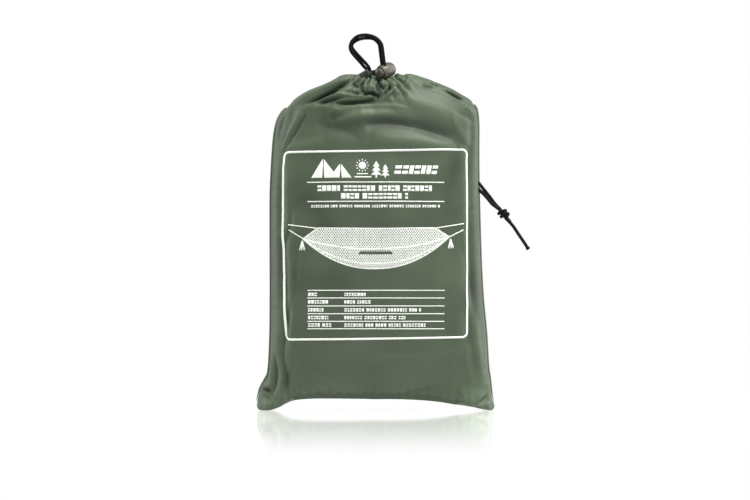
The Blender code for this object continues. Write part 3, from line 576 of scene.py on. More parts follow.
def nylonMaterial(name, colour):
    # plain weave from two crossed waves on the UV map, with slow colour drift and a satin sheen
    mat, nodes, links, shader = newMaterial(name)
    coords = nodes.new("ShaderNodeTexCoord")
    shader.inputs["Roughness"].default_value = 0.52
    shader.inputs["Specular IOR Level"].default_value = 0.34
    shader.inputs["Sheen Weight"].default_value = 0.18
    shader.inputs["Sheen Roughness"].default_value = 0.4
    shader.inputs["Sheen Tint"].default_value = (0.85, 0.92, 0.80, 1)
    drift = nodes.new("ShaderNodeTexNoise")
    drift.inputs["Scale"].default_value = 16
    drift.inputs["Detail"].default_value = 3
    links.new(coords.outputs["Object"], drift.inputs["Vector"])
    ramp = nodes.new("ShaderNodeValToRGB")
    dark = [c * 0.9 for c in colour]
    light = [c * 1.1 for c in colour]
    ramp.color_ramp.elements[0].position, ramp.color_ramp.elements[0].color = 0.3, (*dark, 1)
    ramp.color_ramp.elements[1].position, ramp.color_ramp.elements[1].color = 0.7, (*light, 1)
    links.new(drift.outputs["Fac"], ramp.inputs["Fac"])
    # painted shade and highlight: the fold attribute paints the colour darker where the cloth dips in and a
    # little lighter where it stands out
    fold = nodes.new("ShaderNodeAttribute")
    fold.attribute_name = "fold"
    depth = nodes.new("ShaderNodeMapRange")
    depth.inputs["From Min"].default_value = -4.0
    depth.inputs["From Max"].default_value = 4.0
    links.new(fold.outputs["Fac"], depth.inputs["Value"])
    # the ramp turns the painted shade into a brightness that scales the base colour
    tone = nodes.new("ShaderNodeValToRGB")
    for place, level in ((0.0, 0.22), (0.3, 0.72), (0.5, 1.0), (0.85, 1.38)):
        stop = tone.color_ramp.elements[0] if place == 0.0 else tone.color_ramp.elements.new(place)
        stop.position, stop.color = place, (level / 2, level / 2, level / 2, 1)
    tone.color_ramp.elements[-1].color = (0.72, 0.72, 0.72, 1)
    links.new(depth.outputs["Result"], tone.inputs["Fac"])
    mixed = nodes.new("ShaderNodeVectorMath")
    mixed.operation = "MULTIPLY"
    links.new(ramp.outputs["Color"], mixed.inputs[0])
    links.new(tone.outputs["Color"], mixed.inputs[1])
    twice = nodes.new("ShaderNodeVectorMath")
    twice.operation = "SCALE"
    twice.inputs["Scale"].default_value = 2.0
    links.new(mixed.outputs["Vector"], twice.inputs[0])
    links.new(twice.outputs["Vector"], shader.inputs["Base Color"])
    heights = []
    for direction in ("X", "Y"):
        wave = nodes.new("ShaderNodeTexWave")
        wave.bands_direction = direction
        wave.inputs["Scale"].default_value = 0.55
        wave.inputs["Distortion"].default_value = 0.4
        wave.inputs["Detail"].default_value = 0
        links.new(coords.outputs["UV"], wave.inputs["Vector"])
        heights.append(wave.outputs["Fac"])
    weave = nodes.new("ShaderNodeMath")
    weave.operation = "MULTIPLY"
    links.new(heights[0], weave.inputs[0])
    links.new(heights[1], weave.inputs[1])
    grain = nodes.new("ShaderNodeTexNoise")
    grain.inputs["Scale"].default_value = 420
    links.new(coords.outputs["Object"], grain.inputs["Vector"])
    both = nodes.new("ShaderNodeMath")
    both.operation = "ADD"
    links.new(weave.outputs[0], both.inputs[0])
    links.new(grain.outputs["Fac"], both.inputs[1])
    bump = nodes.new("ShaderNodeBump")
    bump.inputs["Strength"].default_value = 0.18
    bump.inputs["Distance"].default_value = 0.0002
    links.new(both.outputs[0], bump.inputs["Height"])
    links.new(bump.outputs["Normal"], shader.inputs["Normal"])
    return mat


def inkMaterial():
    # screen ink: off-white, with a faint mottle where it lies on the weave
    mat, nodes, links, shader = newMaterial("whiteScreenInk")
    coords = nodes.new("ShaderNodeTexCoord")
    noise = nodes.new("ShaderNodeTexNoise")
    noise.inputs["Scale"].default_value = 900
    noise.inputs["Detail"].default_value = 2
    links.new(coords.outputs["Object"], noise.inputs["Vector"])
    ramp = nodes.new("ShaderNodeValToRGB")
    ramp.color_ramp.elements[0].position, ramp.color_ramp.elements[0].color = 0.3, (0.66, 0.70, 0.62, 1)
    ramp.color_ramp.elements[1].position, ramp.color_ramp.elements[1].color = 0.55, (0.86, 0.88, 0.83, 1)
    links.new(noise.outputs["Fac"], ramp.inputs["Fac"])
    links.new(ramp.outputs["Color"], shader.inputs["Base Color"])
    shader.inputs["Roughness"].default_value = 0.6
    return mat


def cordMaterial():
    # black braid: a fine mottle of two near-blacks on the object's coordinates, with the same mottle as a
    # fine bump
    mat, nodes, links, shader = newMaterial("blackBraid")
    coords = nodes.new("ShaderNodeTexCoord")
    noise = nodes.new("ShaderNodeTexNoise")
    noise.inputs["Scale"].default_value = 1500
    links.new(coords.outputs["Object"], noise.inputs["Vector"])
    ramp = nodes.new("ShaderNodeValToRGB")
    ramp.color_ramp.elements[0].color = (0.0025, 0.0025, 0.003, 1)
    ramp.color_ramp.elements[1].color = (0.008, 0.008, 0.009, 1)
    links.new(noise.outputs["Fac"], ramp.inputs["Fac"])
    links.new(ramp.outputs["Color"], shader.inputs["Base Color"])
    bump = nodes.new("ShaderNodeBump")
    bump.inputs["Strength"].default_value = 0.3
    bump.inputs["Distance"].default_value = 0.0001
    links.new(noise.outputs["Fac"], bump.inputs["Height"])
    links.new(bump.outputs["Normal"], shader.inputs["Normal"])
    shader.inputs["Roughness"].default_value = 0.7
    shader.inputs["Specular IOR Level"].default_value = 0.14
    return mat


def solidMaterial(name, low, high, scale, roughness, metallic=0.0, bumpSize=0.00005):
    # a mottled solid colour with a fine surface grain
    mat, nodes, links, shader = newMaterial(name)
    coords = nodes.new("ShaderNodeTexCoord")
    noise = nodes.new("ShaderNodeTexNoise")
    noise.inputs["Scale"].default_value = scale
    noise.inputs["Detail"].default_value = 4
    links.new(coords.outputs["Object"], noise.inputs["Vector"])
    ramp = nodes.new("ShaderNodeValToRGB")
    ramp.color_ramp.elements[0].position, ramp.color_ramp.elements[0].color = 0.3, (*low, 1)
    ramp.color_ramp.elements[1].position, ramp.color_ramp.elements[1].color = 0.7, (*high, 1)
    links.new(noise.outputs["Fac"], ramp.inputs["Fac"])
    links.new(ramp.outputs["Color"], shader.inputs["Base Color"])
    bump = nodes.new("ShaderNodeBump")
    bump.inputs["Strength"].default_value = 0.25
    bump.inputs["Distance"].default_value = bumpSize
    links.new(noise.outputs["Fac"], bump.inputs["Height"])
    links.new(bump.outputs["Normal"], shader.inputs["Normal"])
    shader.inputs["Roughness"].default_value = roughness
    shader.inputs["Metallic"].default_value = metallic
    return mat


nylon = nylonMaterial("oliveNylon", (0.057, 0.080, 0.047))
# the seam's olive is painted much paler than the cloth's: a painted highlight for the light along both side
# edges
seamPaintedLight = nylonMaterial("oliveSeamPaintedLight", (0.125, 0.150, 0.112))
thread = nylonMaterial("oliveThread", (0.070, 0.094, 0.060))
whiteInk = inkMaterial()
braid = cordMaterial()
lockPlastic = solidMaterial("bronzeGreyPlastic", (0.050, 0.044, 0.033), (0.115, 0.104, 0.082), 500, 0.42)
# the button has the lock's bronze-grey plastic painted darker: painted shade for the button's lower-left side
buttonShadedPlastic = solidMaterial("bronzeGreyPlasticShaded", (0.020, 0.016, 0.012), (0.055, 0.048, 0.038), 500, 0.34)
springSteel = solidMaterial("springSteel", (0.45, 0.45, 0.46), (0.62, 0.62, 0.62), 900, 0.3, 1.0)
netMesh = solidMaterial("oliveNet", (0.05, 0.07, 0.04), (0.10, 0.13, 0.08), 700, 0.85, 0.0, 0.0003)
glassFibre = solidMaterial("blackGlassFibre", (0.02, 0.02, 0.021), (0.04, 0.04, 0.042), 600, 0.35)
drawnAluminium = solidMaterial("drawnAluminium", (0.62, 0.63, 0.64), (0.76, 0.77, 0.78), 800, 0.3, 1.0)


cords = dict(radius=1.5, sides=20, ringStep=0.42, carriers=8, braidPitch=3.4, braidRise=0.09, strandPitch=3.4,
             loopSpread=0.94)
lock = dict(turn=23.0, forward=40.0, place=np.array([8.8, -3.2, 305.1]), boreCentre=2.0)


def lockAxes():
    # the bore's direction, the direction across it, and the direction in which the button is pressed out
    turn, forward = math.radians(lock["turn"]), math.radians(lock["forward"])
    level = math.cos(forward)
    press = np.array([-math.cos(turn) * level, -math.sin(forward), -math.sin(turn) * level])
    rise = np.array([0.2, 0, 1.0])
    along = rise - press * (rise @ press)
    along /= np.linalg.norm(along)
    return along, np.cross(press, along), press


def frameAlong(path):
    # tangents and a side direction carried along the path without twist
    tangent = np.gradient(path, axis=0)
    tangent /= np.linalg.norm(tangent, axis=1)[:, None]
    side = np.zeros_like(path)
    s = np.cross(tangent[0], [0.3, 1, 0.1])
    side[0] = s / np.linalg.norm(s)
    for k in range(1, len(path)):
        s = side[k - 1] - tangent[k] * (side[k - 1] @ tangent[k])
        side[k] = s / np.linalg.norm(s)
    return tangent, side, np.cross(tangent, side)


def braidedCord(name, route, nodes, endRise=0.0):
    # a tube whose radius rises and falls where the two sets of carriers cross, with a melted bead at its end
    length = np.linalg.norm(np.diff(smoothLine(route, 400), axis=0), axis=1).sum()
    count = int(length / cords["ringStep"]) + 1
    path = smoothLine(route, count)
    # ease out kinks: a short bell average along the path, with the ends kept
    reach = np.arange(-7, 8)
    bell = np.exp(-((reach / 2.6) ** 2))
    bell /= bell.sum()
    padded = np.vstack([path[:1] + (path[:1] - path[7:0:-1]), path, path[-1:] + (path[-1:] - path[-2:-9:-1])])
    path = np.column_stack([np.convolve(padded[:, k], bell, mode="valid") for k in range(3)])
    side, other = frameAlong(path)[1:]
    length = np.linalg.norm(np.diff(path, axis=0), axis=1).sum()
    angle = np.linspace(0, 2 * math.pi, cords["sides"], endpoint=False)
    s = np.linspace(0, length, count)[:, None]
    turn = 2 * math.pi * s / (cords["braidPitch"] * 2)
    half = cords["carriers"] / 2
    crossing = np.sin(half * angle + turn * half) * np.sin(half * angle - turn * half)
    radius = cords["radius"] - 0.03 + cords["braidRise"] * crossing
    ends = np.minimum(s, length - s)
    radius = radius * np.sqrt(np.clip(ends / 0.5, 0.04, 1))
    radius = radius + endRise * np.exp(-((length - s - 1.0) / 1.1) ** 2)
    ring = path[:, None] + radius[..., None] * (
        np.cos(angle)[None, :, None] * side[:, None] + np.sin(angle)[None, :, None] * other[:, None])
    sides = cords["sides"]
    points = np.vstack([ring.reshape(-1, 3), path[:1], path[-1:]])
    ob = meshPiece(name, points, tubeFaces(count, sides), braid)
    u = np.concatenate([np.tile(angle / (2 * math.pi), count), [0.5, 0.5]])
    v = np.concatenate([np.repeat(s[:, 0] / 10, sides), [0, length / 10]])
    setUv(ob, u, v)
    rideSack(ob, "black_cord", *nodes)
    return ob, path * mm, length * mm


def wrap(start, end, radius, turns, phase, direction=1):
    # points of a helix round the line from start to end
    axis = (end - start) / np.linalg.norm(end - start)
    a = np.cross(axis, [0, 1, 0.2])
    a /= np.linalg.norm(a)
    b = np.cross(axis, a)
    t = np.linspace(0, 1, int(turns * 9) + 1)
    angle = phase + direction * 2 * math.pi * turns * t
    reach = radius * (0.35 + 0.65 * np.clip(np.minimum(t, 1 - t) / 0.13, 0, 1))
    turned = np.cos(angle)[:, None] * a + np.sin(angle)[:, None] * b
    return list(start + (end - start) * t[:, None] + reach[:, None] * turned)


# places along the bore, then the loop above the lock: the middle of the doubled cord and half of the way
# from one strand to the other; all from the lock's centre
straight = (-9.5, -8.0, -3.0, 4.0, 11.0, 18.0, 20.0, 21.0)
loop = [
    ((-4.9, -8.9, 23.6), (-1.1, 1.05, -0.1)),
    ((-9.0, -9.0, 28.2), (-0.8, 1.3, -0.5)),
    ((-14.0, -8.0, 30.0), (0.2, 1.0, -1.2)),
    ((-19.5, -6.6, 30.3), (0.2, 0.2, -1.55)),
    ((-25.2, -5.0, 29.0), (0.7, 0.4, -1.35)),
    ((-30.0, -3.4, 25.2), (0.6, 1.4, -0.4)),
    ((-31.0, -1.4, 20.6), (0.8, 1.2, 0.7)),
    ((-28.0, 1.2, 15.8), (1.15, 0.4, 0.95)),
    ((-22.0, 5.8, 9.4), (1.15, 0.2, 1.0)),
    ((-16.5, 10.6, 3.4), (1.1, 0.1, 1.1)),
]
tails = [[(-4.2, 21.9, -13.3), (-2.8, 23.8, -19.0)], [(-11.8, 22.2, -13.6), (-13.2, 24.0, -17.6)]]
drawKnot = dict(start=(-12.0, 13.6, -1.6), end=(-8.2, 17.6, -6.2), radius=3.3, turns=2.1, phase=3.6)


def drawcordRoute(sign):
    # out of the channel, up through the bore and round the loop; sign picks the strand
    place = lock["place"]
    along, beside, press = lockAxes()
    start = place + press * lock["boreCentre"] + beside * (sign * cords["strandPitch"] / 2)
    bore = [start + along * s for s in straight]
    exitX, level = (-4.0, 291.8) if sign > 0 else (21.0, 292.6)
    inward = -2.0 if sign > 0 else 2.4
    route = [
        np.array([exitX + sign * 0.35, -4.2, level]),
        np.array([exitX + sign * 4.0, -4.3, level - 0.7]),
        np.array([bore[0][0] + inward, -2.8, level - 0.4]),
    ]
    spread = sign * cords["loopSpread"]
    return route + bore + [place + np.array(middle) + np.array(half) * spread for middle, half in loop]


def finishCord(name, route, nodes, endRise):
    # a loose cord with a bare far end; its length is measured along its own path
    ob, path, length = braidedCord(name, route, nodes, endRise)
    print(name, round(length, 4))


def makeDrawcord():
    # the left strand wraps the right one behind the lock, and both end in a short tail
    start, end = lock["place"] + drawKnot["start"], lock["place"] + drawKnot["end"]
    knot = wrap(start, end, drawKnot["radius"], drawKnot["turns"], drawKnot["phase"])
    leftTail, rightTail = ([lock["place"] + p for p in tail] for tail in tails)
    leftRoute = drawcordRoute(1) + knot + leftTail
    rightRoute = drawcordRoute(-1) + [start, (start + end) / 2, end] + rightTail
    leftNodes = ("drawcord_strand_left", "drawcord_knot", "drawcord_tail_1")
    rightNodes = ("drawcord_strand_right", "drawcord_tail_2")
    finishCord("drawcordLeft", leftRoute, leftNodes, 0.25)
    finishCord("drawcordRight", rightRoute, rightNodes, 0.25)


# the side cord from the seam at z 200: both legs, then both tails below the knot
sideExit = np.array([92.4, 0.0, 200.0])
sideLegs = [
    [(-1.2, 0.2, 6.4), (1.6, 0.2, 2.6), (6.0, 0.6, -2.9), (10.6, 1.2, -8.6), (14.6, 1.5, -14.0)],
    [(-1.2, -0.2, 0.2), (1.2, -0.2, -2.4), (4.6, -0.8, -5.6), (8.8, -1.3, -10.4), (12.8, -1.5, -15.0)],
]
sideTails = [
    [(30.6, -1.8, -33.8), (35.9, -1.4, -41.6), (40.8, -0.9, -48.8), (45.2, -0.6, -55.6)],
    [(27.8, 1.8, -29.8), (28.9, 1.8, -31.4)],
]
sideKnot = dict(start=(20.0, -0.3, -20.4), end=(25.2, 0.3, -26.6), radius=3.35, turns=2.2, phase=1.2)


def makeSideCord():
    # the lower leg goes straight through the knot, and the upper one winds round it
    start, end = sideExit + sideKnot["start"], sideExit + sideKnot["end"]
    upperLeg, lowerLeg = ([sideExit + p for p in leg] for leg in sideLegs)
    longTail, shortTail = ([sideExit + p for p in tail] for tail in sideTails)
    knot = wrap(start, end, sideKnot["radius"], sideKnot["turns"], sideKnot["phase"])
    longRoute = upperLeg + knot + longTail
    shortRoute = lowerLeg + [start, (start + end) / 2, end] + shortTail
    longNodes = ("side_cord_leg_upper", "side_cord_knot", "side_cord_tail_long")
    shortNodes = ("side_cord_leg_lower", "side_cord_tail_short")
    finishCord("sideCordLong", longRoute, longNodes, 0.55)
    finishCord("sideCordShort", shortRoute, shortNodes, 0.2)


makeDrawcord()
makeSideCord()


def sackCloth(name, side, cols, rows, nodes):
    # one continuous sheet: the hem below, the panel, and the lip turned down inside the mouth
    u = eased(cols)
    v = np.concatenate([np.linspace(-sack["hemBelow"], 0, 14, endpoint=False), eased(rows, 0.8),
                        1 + sack["lipAbove"] * np.linspace(0, 1, 15)[1:]])
    vv, uu = np.meshgrid(v, u, indexing="ij")
    shade = []
    points = sackPoint(uu, vv, side, shade)
    ob = meshPiece(name, points, gridFaces(len(v), cols, flip=side > 0).tolist(), nylon)
    # the fold attribute carries the painted shade and painted highlight that the nylon material reads
    fold = ob.data.attributes.new("fold", "FLOAT", "POINT")
    fold.data.foreach_set("value", shade[0].ravel())
    setUv(ob, uu * 200, vv * 290)
    rideSack(ob, "olive_nylon", *nodes)


def edgePoint(u, v, y=0.0):
    # a point on the sack's outline: u is 0 or 1 at the sides, and y moves it off the middle plane
    uu, vv = np.broadcast_arrays(np.asarray(u, float), np.asarray(v, float))
    flat = flatPlace(uu, np.clip(vv, 0, 1))
    return np.stack([flat[..., 0], np.full(uu.shape, float(y)), flat[..., 1]], -1)


seam = dict(width=1.6, thick=1.7, overlap=0.7, low=0.015, high=1.0, rows=420, sides=14)


def sideSeam(name, u, node):
    # a folded seam: a flat oval section along the side, gently waved by its stitches
    v = np.linspace(seam["low"], seam["high"], seam["rows"])
    path = edgePoint(np.full(v.shape, float(u)), v)
    tangent = np.gradient(path, axis=0)
    tangent /= np.linalg.norm(tangent, axis=1)[:, None]
    out = np.cross(tangent, [0, 1, 0]) * (1 if u > 0.5 else -1)
    angle = np.linspace(0, 2 * math.pi, seam["sides"], endpoint=False)
    run = v * sack["flatHigh"]
    wave = 1 + 0.10 * np.sin(run * 2 * math.pi / 3.1)
    ends = np.sqrt(np.clip(np.minimum((v - seam["low"]) / 0.05, (seam["high"] - v) / 0.008), 0.02, 1))
    centre = path - out * seam["overlap"]
    wide = (seam["width"] / 2 * ends)[:, None] * np.cos(angle)
    thick = (seam["thick"] / 2 * wave * ends)[:, None] * np.sin(angle)
    ring = centre[:, None] + out[:, None] * wide[..., None] + np.array([0, 1.0, 0]) * thick[..., None]
    rows, sides = seam["rows"], seam["sides"]
    points = np.vstack([ring.reshape(-1, 3), centre[:1], centre[-1:]])
    ob = meshPiece(name, points, tubeFaces(rows, sides, flip=u < 0.5), seamPaintedLight)
    upward = np.append(np.repeat(run, sides), [0, sack["flatHigh"]])
    setUv(ob, np.append(np.tile(angle, rows), [0, 0]), upward)
    rideSack(ob, "olive_seam", node)


sackCloth("sackFrontCloth", -1, 300, 300, (
    "sack_front_panel", "sack_corner_left", "sack_corner_right", "sack_bottom_hem", "sack_drawcord_channel"))
sackCloth("sackBackCloth", 1, 220, 240, ("sack_back_panel",))
sideSeam("sackSeamLeft", 0, "sack_side_seam_left")
sideSeam("sackSeamRight", 1, "sack_side_seam_right")
print("sack cloth made")


stitch = dict(length=2.0, gap=1.1, radius=0.2, lift=0.16, sides=6, rings=7)


def stitchRow(name, side, u0, u1, v):
    # short dashes of thread that dip into the cloth at both ends
    uu = np.linspace(u0, u1, 900)
    line = sackPoint(uu, np.full(uu.shape, v), side)
    run = np.concatenate([[0], np.cumsum(np.linalg.norm(np.diff(line, axis=0), axis=1))])
    count = int(run[-1] / (stitch["length"] + stitch["gap"]))
    start = np.linspace(0, run[-1] - stitch["length"], count)
    t = np.linspace(0, 1, stitch["rings"])
    along = start[:, None] + stitch["length"] * t[None]
    centre = np.stack([np.interp(along, run, line[:, k]) for k in range(3)], -1)
    lift = stitch["lift"] * np.sin(math.pi * t) ** 0.5 - 0.06
    centre[..., 1] += side * lift[None]
    angle = np.linspace(0, 2 * math.pi, stitch["sides"], endpoint=False)
    radius = stitch["radius"] * np.sqrt(np.clip(np.minimum(t, 1 - t) / 0.16, 0.02, 1))
    offset = np.stack([0 * angle, np.cos(angle) * -1, np.sin(angle)], -1)
    rings = centre[:, :, None] + radius[None, :, None, None] * offset[None, None]
    per = stitch["rings"] * stitch["sides"]
    one = gridFaces(stitch["rings"], stitch["sides"], closed=True)
    first = (np.arange(count) * per)[:, None]
    cap = np.arange(stitch["sides"])[None]
    faces = (one[None] + first[..., None]).reshape(-1, 4).tolist()
    faces += (cap[:, ::-1] + first).tolist() + (cap + first + per - stitch["sides"]).tolist()
    rideSack(meshPiece(name, rings, faces, thread), "olive_seam")


for side, word in ((-1, "Front"), (1, "Back")):
    stitchRow("hemStitches" + word, side, 0.12, 0.88, 0.006)
    stitchRow("channelStitches" + word, side, 0.06, 0.94, 0.962)
print("stitches made")


# the print lies on the front cloth: widths of its lines, height over the cloth, grid step and thickness
printLay = dict(line=1.8, thin=0.9, rise=0.14, step=1.4, skin=0.05)
printed = []


def invert(x, z):
    # u and v of a place on the front, found by Newton steps on the flat outline map
    u = np.clip((x + 95) / 190, 0.02, 0.98)
    v = np.clip((z - 12) / 285, 0.02, 0.98)
    e = 1e-4
    for turn in range(7):
        here = flatPlace(u, v)
        du = (flatPlace(u + e, v) - here) / e
        dv = (flatPlace(u, v + e) - here) / e
        rx, rz = x - here[..., 0], z - here[..., 1]
        det = du[..., 0] * dv[..., 1] - du[..., 1] * dv[..., 0]
        u = np.clip(u + (rx * dv[..., 1] - rz * dv[..., 0]) / det, 0.001, 0.999)
        v = np.clip(v + (rz * du[..., 0] - rx * du[..., 1]) / det, 0.001, 0.999)
    return u, v


def patch(a, b, c, d):
    # a four-sided ink patch with corners in order; printed keeps its grid
    a, b, c, d = (np.array(p, float) for p in (a, b, c, d))
    m = max(int(max(np.linalg.norm(b - a), np.linalg.norm(c - d)) / printLay["step"]) + 2, 2)
    n = max(int(max(np.linalg.norm(d - a), np.linalg.norm(c - b)) / printLay["step"]) + 2, 2)
    s, t = np.linspace(0, 1, m)[None, :, None], np.linspace(0, 1, n)[:, None, None]
    printed.append((1 - t) * ((1 - s) * a + s * b) + t * ((1 - s) * d + s * c))


def ribbon(points, width):
    # an ink line of even width along the points
    p = np.array(points, float)
    run = np.concatenate([[0], np.cumsum(np.linalg.norm(np.diff(p, axis=0), axis=1))])
    want = np.linspace(0, run[-1], max(int(run[-1] / printLay["step"]) + 2, 2))
    line = np.column_stack([np.interp(want, run, p[:, k]) for k in (0, 1)])
    tangent = np.gradient(line, axis=0)
    tangent /= np.linalg.norm(tangent, axis=1)[:, None]
    off = np.column_stack([-tangent[:, 1], tangent[:, 0]]) * width / 2
    printed.append(np.stack([line - off, line + off]))


def arc(cx, cz, r, a0, a1, count=12):
    # points on a circle's arc, with the angles in degrees
    t = np.radians(np.linspace(a0, a1, count))
    return np.column_stack([cx + r * np.cos(t), cz + r * np.sin(t)]).tolist()


def wordRow(x0, x1, z, high, seed, slant=0.0, fill=0.72):
    # a row of plain blocks in groups, standing in for a line of wording
    rng = np.random.default_rng(seed)
    x, left = x0, int(rng.integers(4, 9))
    while x < x1 - 0.3 * high:
        w = high * rng.uniform(0.5, 0.85)
        gap = high * (1 - fill) * 0.55
        cut = high * rng.choice([0, 0.3])
        z0, z1 = z - high / 2, z + high / 2
        wide = min(w, x1 - x)
        lean, notch = slant * high, 0.12 * high
        if cut:
            low, up = x + 0.35 * lean, x + 0.6 * lean
            patch((x, z0), (x + wide, z0), (low + wide, z - notch), (low, z - notch))
            patch((up, z + notch), (up + wide, z + notch), (x + wide + lean, z1), (x + lean, z1))
        else:
            patch((x, z0), (x + wide, z0), (x + wide + lean, z1), (x + lean, z1))
        x += wide + gap
        left -= 1
        if left == 0:
            x += high * 0.5
            left = int(rng.integers(3, 9))


def finishPrint(name):
    # lay all patches on the displaced cloth, each a little above it, and give them thickness
    grids = list(printed)
    printed.clear()
    flat = np.vstack([g.reshape(-1, 2) for g in grids])
    u, v = invert(flat[:, 0], flat[:, 1])
    points = sackPoint(u, v, -1)
    points[:, 1] -= printLay["rise"]
    faces, base = [], 0
    for g in grids:
        f = gridFaces(g.shape[0], g.shape[1]) + base
        a, b, c = (flat[f[0][k]] for k in (0, 1, 2))
        turn = (b - a)[0] * (c - b)[1] - (b - a)[1] * (c - b)[0]
        faces.append(f if turn > 0 else f[:, ::-1])
        base += g.shape[0] * g.shape[1]
    ob = meshPiece(name, points, np.vstack(faces).tolist(), whiteInk)
    setUv(ob, flat[:, 0], flat[:, 1])
    thick = ob.modifiers.new("skin", "SOLIDIFY")
    thick.thickness = printLay["skin"] * mm
    thick.offset = 1
    rideSack(ob, "olive_nylon")


def printFrame():
    # a rounded border, a little taller on its right
    r, x0, x1 = 4.5, -83.0, 82.0
    low0, low1, high0, high1 = 64.0, 66.2, 231.4, 233.8
    border = [(-40, low0 + 0.5), *[(x, low0 + (low1 - low0) * (x - x0) / (x1 - x0)) for x in (0, 40)]]
    border += arc(x1 - r, low1 + r, r, -90, 0)
    border += [(x1 + 0.2, 150)]
    border += arc(x1 - r, high1 - r, r, 0, 90)
    border += [(0, 232.4)]
    border += arc(x0 + 1.2 + r, high0 - r, r, 90, 180)
    border += [(-82.9, 215), (-83.7, 190), (-83.5, 150), (-82.6, 110), (-81.9, 84)]
    border += arc(x0 + 1.7 + r, low0 + r, r, 180, 270)
    border += [(-40, low0 + 0.5)]
    ribbon(border, printLay["line"])
    finishPrint("printFrame")


def printHeading():
    # a mountain range with a low sun, two fir trees and a slanted row of blocks, between two rules
    ground = 208.2
    for left, right, top, height in ((-57.5, -33.5, -46.5, 17.0), (-41.0, -21.5, -31.0, 12.5)):
        peak = ground + height
        patch((left, ground), (top - 1.2, ground), (top - 0.4, peak - height * 0.34), (top - 0.9, peak))
        patch((top + 0.6, ground), (right, ground), (top + 0.1, peak), (top + 0.2, peak - height * 0.3))
    sun, disc = np.array([-12, 219.2]), 3.4
    for a in range(0, 360, 30):
        here, after = (np.array([math.cos(t), math.sin(t)]) for t in np.radians([a, a + 30]))
        patch(sun, sun + disc * here, sun + disc * after, sun + 0.02)
        ribbon([sun + 4.3 * here, sun + 5.8 * here], 0.8)
    ribbon([(-19, 209), (-4, 209)], 1.2)
    ribbon([(-17, 211.8), (-7, 211.8)], 1.0)
    for x, size in ((0.4, 1.0), (8.4, 0.8)):
        for z, w, h in ((210.6, 5.0, 4.8), (214.4, 4.2, 4.6), (218.0, 3.2, 5.0)):
            half, low = w * size, ground + (z - ground) * size
            patch((x - half, low), (x + half, low), (x + 0.15, low + h * size), (x - 0.15, low + h * size))
        ribbon([(x, ground), (x, 211.0)], 1.5 * size)
    wordRow(16, 54, 215.4, 7.6, 5, 0.22, 0.78)
    for z in (204.3, 187.2):
        ribbon([(-61.4, z), (0, z + 0.2), (61.2, z)], printLay["thin"])
    wordRow(-52, 50.6, 198.9, 5.0, 21, 0, 0.78)
    wordRow(-31, 29, 192.1, 5.0, 34, 0, 0.78)
    wordRow(-58, 57.5, 183.0, 2.3, 55, 0, 0.6)
    finishPrint("printHeading")


def netTop(x):
    # straight along the ridge, then down to both tips
    return np.interp(x, [-65, -52, 0, 53, 65.5], [153.9, 163.6, 163.2, 163.8, 155.7])


def netSag(x, depth):
    # a hanging curve between the two tips
    t = np.clip((x + 65) / 130.5, 0, 1)
    return 153.9 + 1.8 * t - depth * (1 - np.abs(2 * t - 1) ** 2.2)


def printNet():
    # a hammock under its net: hatching both ways, three hanging bands, four ropes and two tassels
    xs = np.linspace(-65, 65.5, 60)
    for depth, width in ((27.4, 1.1), (22.8, 1.3), (9.8, 1.7)):
        ribbon(np.column_stack([xs, netSag(xs, depth)]), width)
    ribbon(np.column_stack([xs, netTop(xs)]), 0.9)
    for way in (-1, 1):
        for c in np.arange(-110, 112, 2.15):
            z = np.linspace(124, 165, 60)
            x = c + way * (z - 145) * 0.75
            inside = (z < netTop(x)) & (z > netSag(x, 27.4)) & (np.abs(x) < 65)
            inside &= ~((np.abs(x) < 14.4) & (np.abs(z - 141.4) < 0.9))
            if inside.sum() > 3:
                edge = np.flatnonzero(np.diff(np.concatenate([[0], inside.astype(int), [0]])))
                for a, b in zip(edge[::2], edge[1::2]):
                    if b - a > 2:
                        ribbon(np.column_stack([x, z])[a:b], 0.72)
    for rope in (((-78.4, 166.6), (-52, 163.2)), ((-78.2, 162), (-64.4, 153.9)),
                 ((78.6, 167.6), (53, 163.4)), ((78.5, 162), (65, 155.4))):
        ribbon(rope, 0.9)
    for x, z in ((-65.6, 152.4), (66.8, 154.0)):
        for lean in (-2.4, -0.9, 0.8, 2.4):
            ribbon([(x, z), (x + lean * 0.5, z - 4), (x + lean, z - 8.6)], 0.8)
    finishPrint("printNet")


def printTable():
    # six rules and five rows: a short label and a longer value in each
    for z in (108.0, 101.2, 94.1, 87.2, 80.4, 73.8):
        ribbon([(-61, z), (0, z + 0.15), (61, z)], 0.8)
    rows = ((104.4, -51.4, -7.0), (97.7, -42.3, -3.4), (90.6, -46.6, 40.7), (83.8, -42.3, 26.3),
            (77.1, -37.8, 47.0))
    for k, (z, label, value) in enumerate(rows):
        wordRow(-60.3, label, z, 3.1, 70 + k, 0, 0.66)
        wordRow(-28.1, value, z, 2.9, 80 + k, 0, 0.66)
    finishPrint("printTable")


printFrame()
printHeading()
printNet()
printTable()
print("print made")


bundle = dict(rows=150, cols=120, folds=7)


def signedPower(value, n):
    # the size raised to a power, with the sign kept
    return np.sign(value) * np.abs(value) ** n


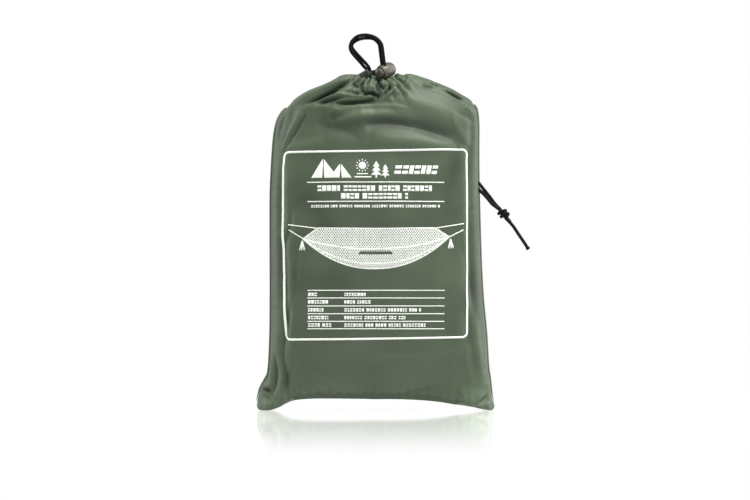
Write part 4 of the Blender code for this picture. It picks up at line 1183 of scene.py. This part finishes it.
def netBundle():
    # the net folded flat in layers and rolled into the sack: a closed cushion, a superellipse each way,
    # with a ridge for each layer round its edge
    low, high = (np.array(p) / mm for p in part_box("net_bundle"))
    mid, half = (low + high) / 2, (high - low) / 2
    rows, cols = bundle["rows"], bundle["cols"]
    a = np.linspace(0, 2 * math.pi, cols, endpoint=False)
    b = np.linspace(-math.pi / 2, math.pi / 2, rows + 2)[1:-1]
    aa, bb = np.meshgrid(a, b)
    around = signedPower(np.cos(bb), 0.4)
    cx = signedPower(np.cos(aa), 0.55) * around
    cy = signedPower(np.sin(aa), 0.7) * around
    cz = signedPower(np.sin(bb), 0.6)
    x, y, z = mid[0] + cx * half[0] * 0.95, mid[1] + cy * half[1] * 0.9, mid[2] + cz * half[2] * 0.97
    layers = np.abs(np.sin(y * math.pi / (2 * half[1]) * bundle["folds"] + 0.4 * np.sin(z / 19)))
    crease = 0.9 * ripple(x, z, 41, 9, 26) + 0.5 * ripple(z, y * 3, 42, 9, 12)
    x = x - np.sign(cx) * np.abs(cx) ** 3 * 1.8 * layers
    y = y * (1 - 0.03 * (1 + np.tanh(crease)))
    y = y * (0.86 + 0.14 * np.sqrt(np.clip(1 - cz**4, 0, 1)))
    poles = [[mid[0], mid[1], z.min() - 0.2], [mid[0], mid[1], z.max() + 0.2]]
    points = np.vstack([np.stack([x, y, z], -1).reshape(-1, 3), poles])
    ob = meshPiece("netBundle", points, tubeFaces(rows, cols), netMesh)
    rideSack(ob, "olive_net", "net_bundle")


channelRun = dict(level=0.985, off=1.6, drop=2.2)


def channelCord():
    # the drawcord's run inside the hem: round the back from one exit to the other
    level, off = channelRun["level"], channelRun["off"]
    right = edgePoint(np.linspace(0.555, 0.955, 40), level, -off)
    behind = edgePoint(np.linspace(0.955, 0.045, 90), level, off)
    left = edgePoint(np.linspace(0.045, 0.49, 40), level, -off)
    turnRight, turnLeft = edgePoint([0.966], level, 0), edgePoint([0.034], level, 0)
    route = np.vstack([right, turnRight, behind, turnLeft, left])
    route[:, 2] -= channelRun["drop"]
    length = braidedCord("drawcordInChannel", route, ("drawcord_in_channel",))[2]
    print("cord in the channel", round(length, 3))


netBundle()
channelCord()
print("contents made")


# the hard pieces keep their own meshes and get their finishes
finishes = {"cord_lock_body": lockPlastic, "cord_lock_button": buttonShadedPlastic, "cord_lock_spring": springSteel}
for name in frame["nodes"]:
    if name.startswith("pole"):
        finishes[name] = drawnAluminium if "ferrule" in name else glassFibre
for name, mat in finishes.items():
    node = frame["nodes"][name]
    if not node.data.materials:
        node.data.materials.append(mat)
    for k in range(len(node.data.materials)):
        node.data.materials[k] = mat
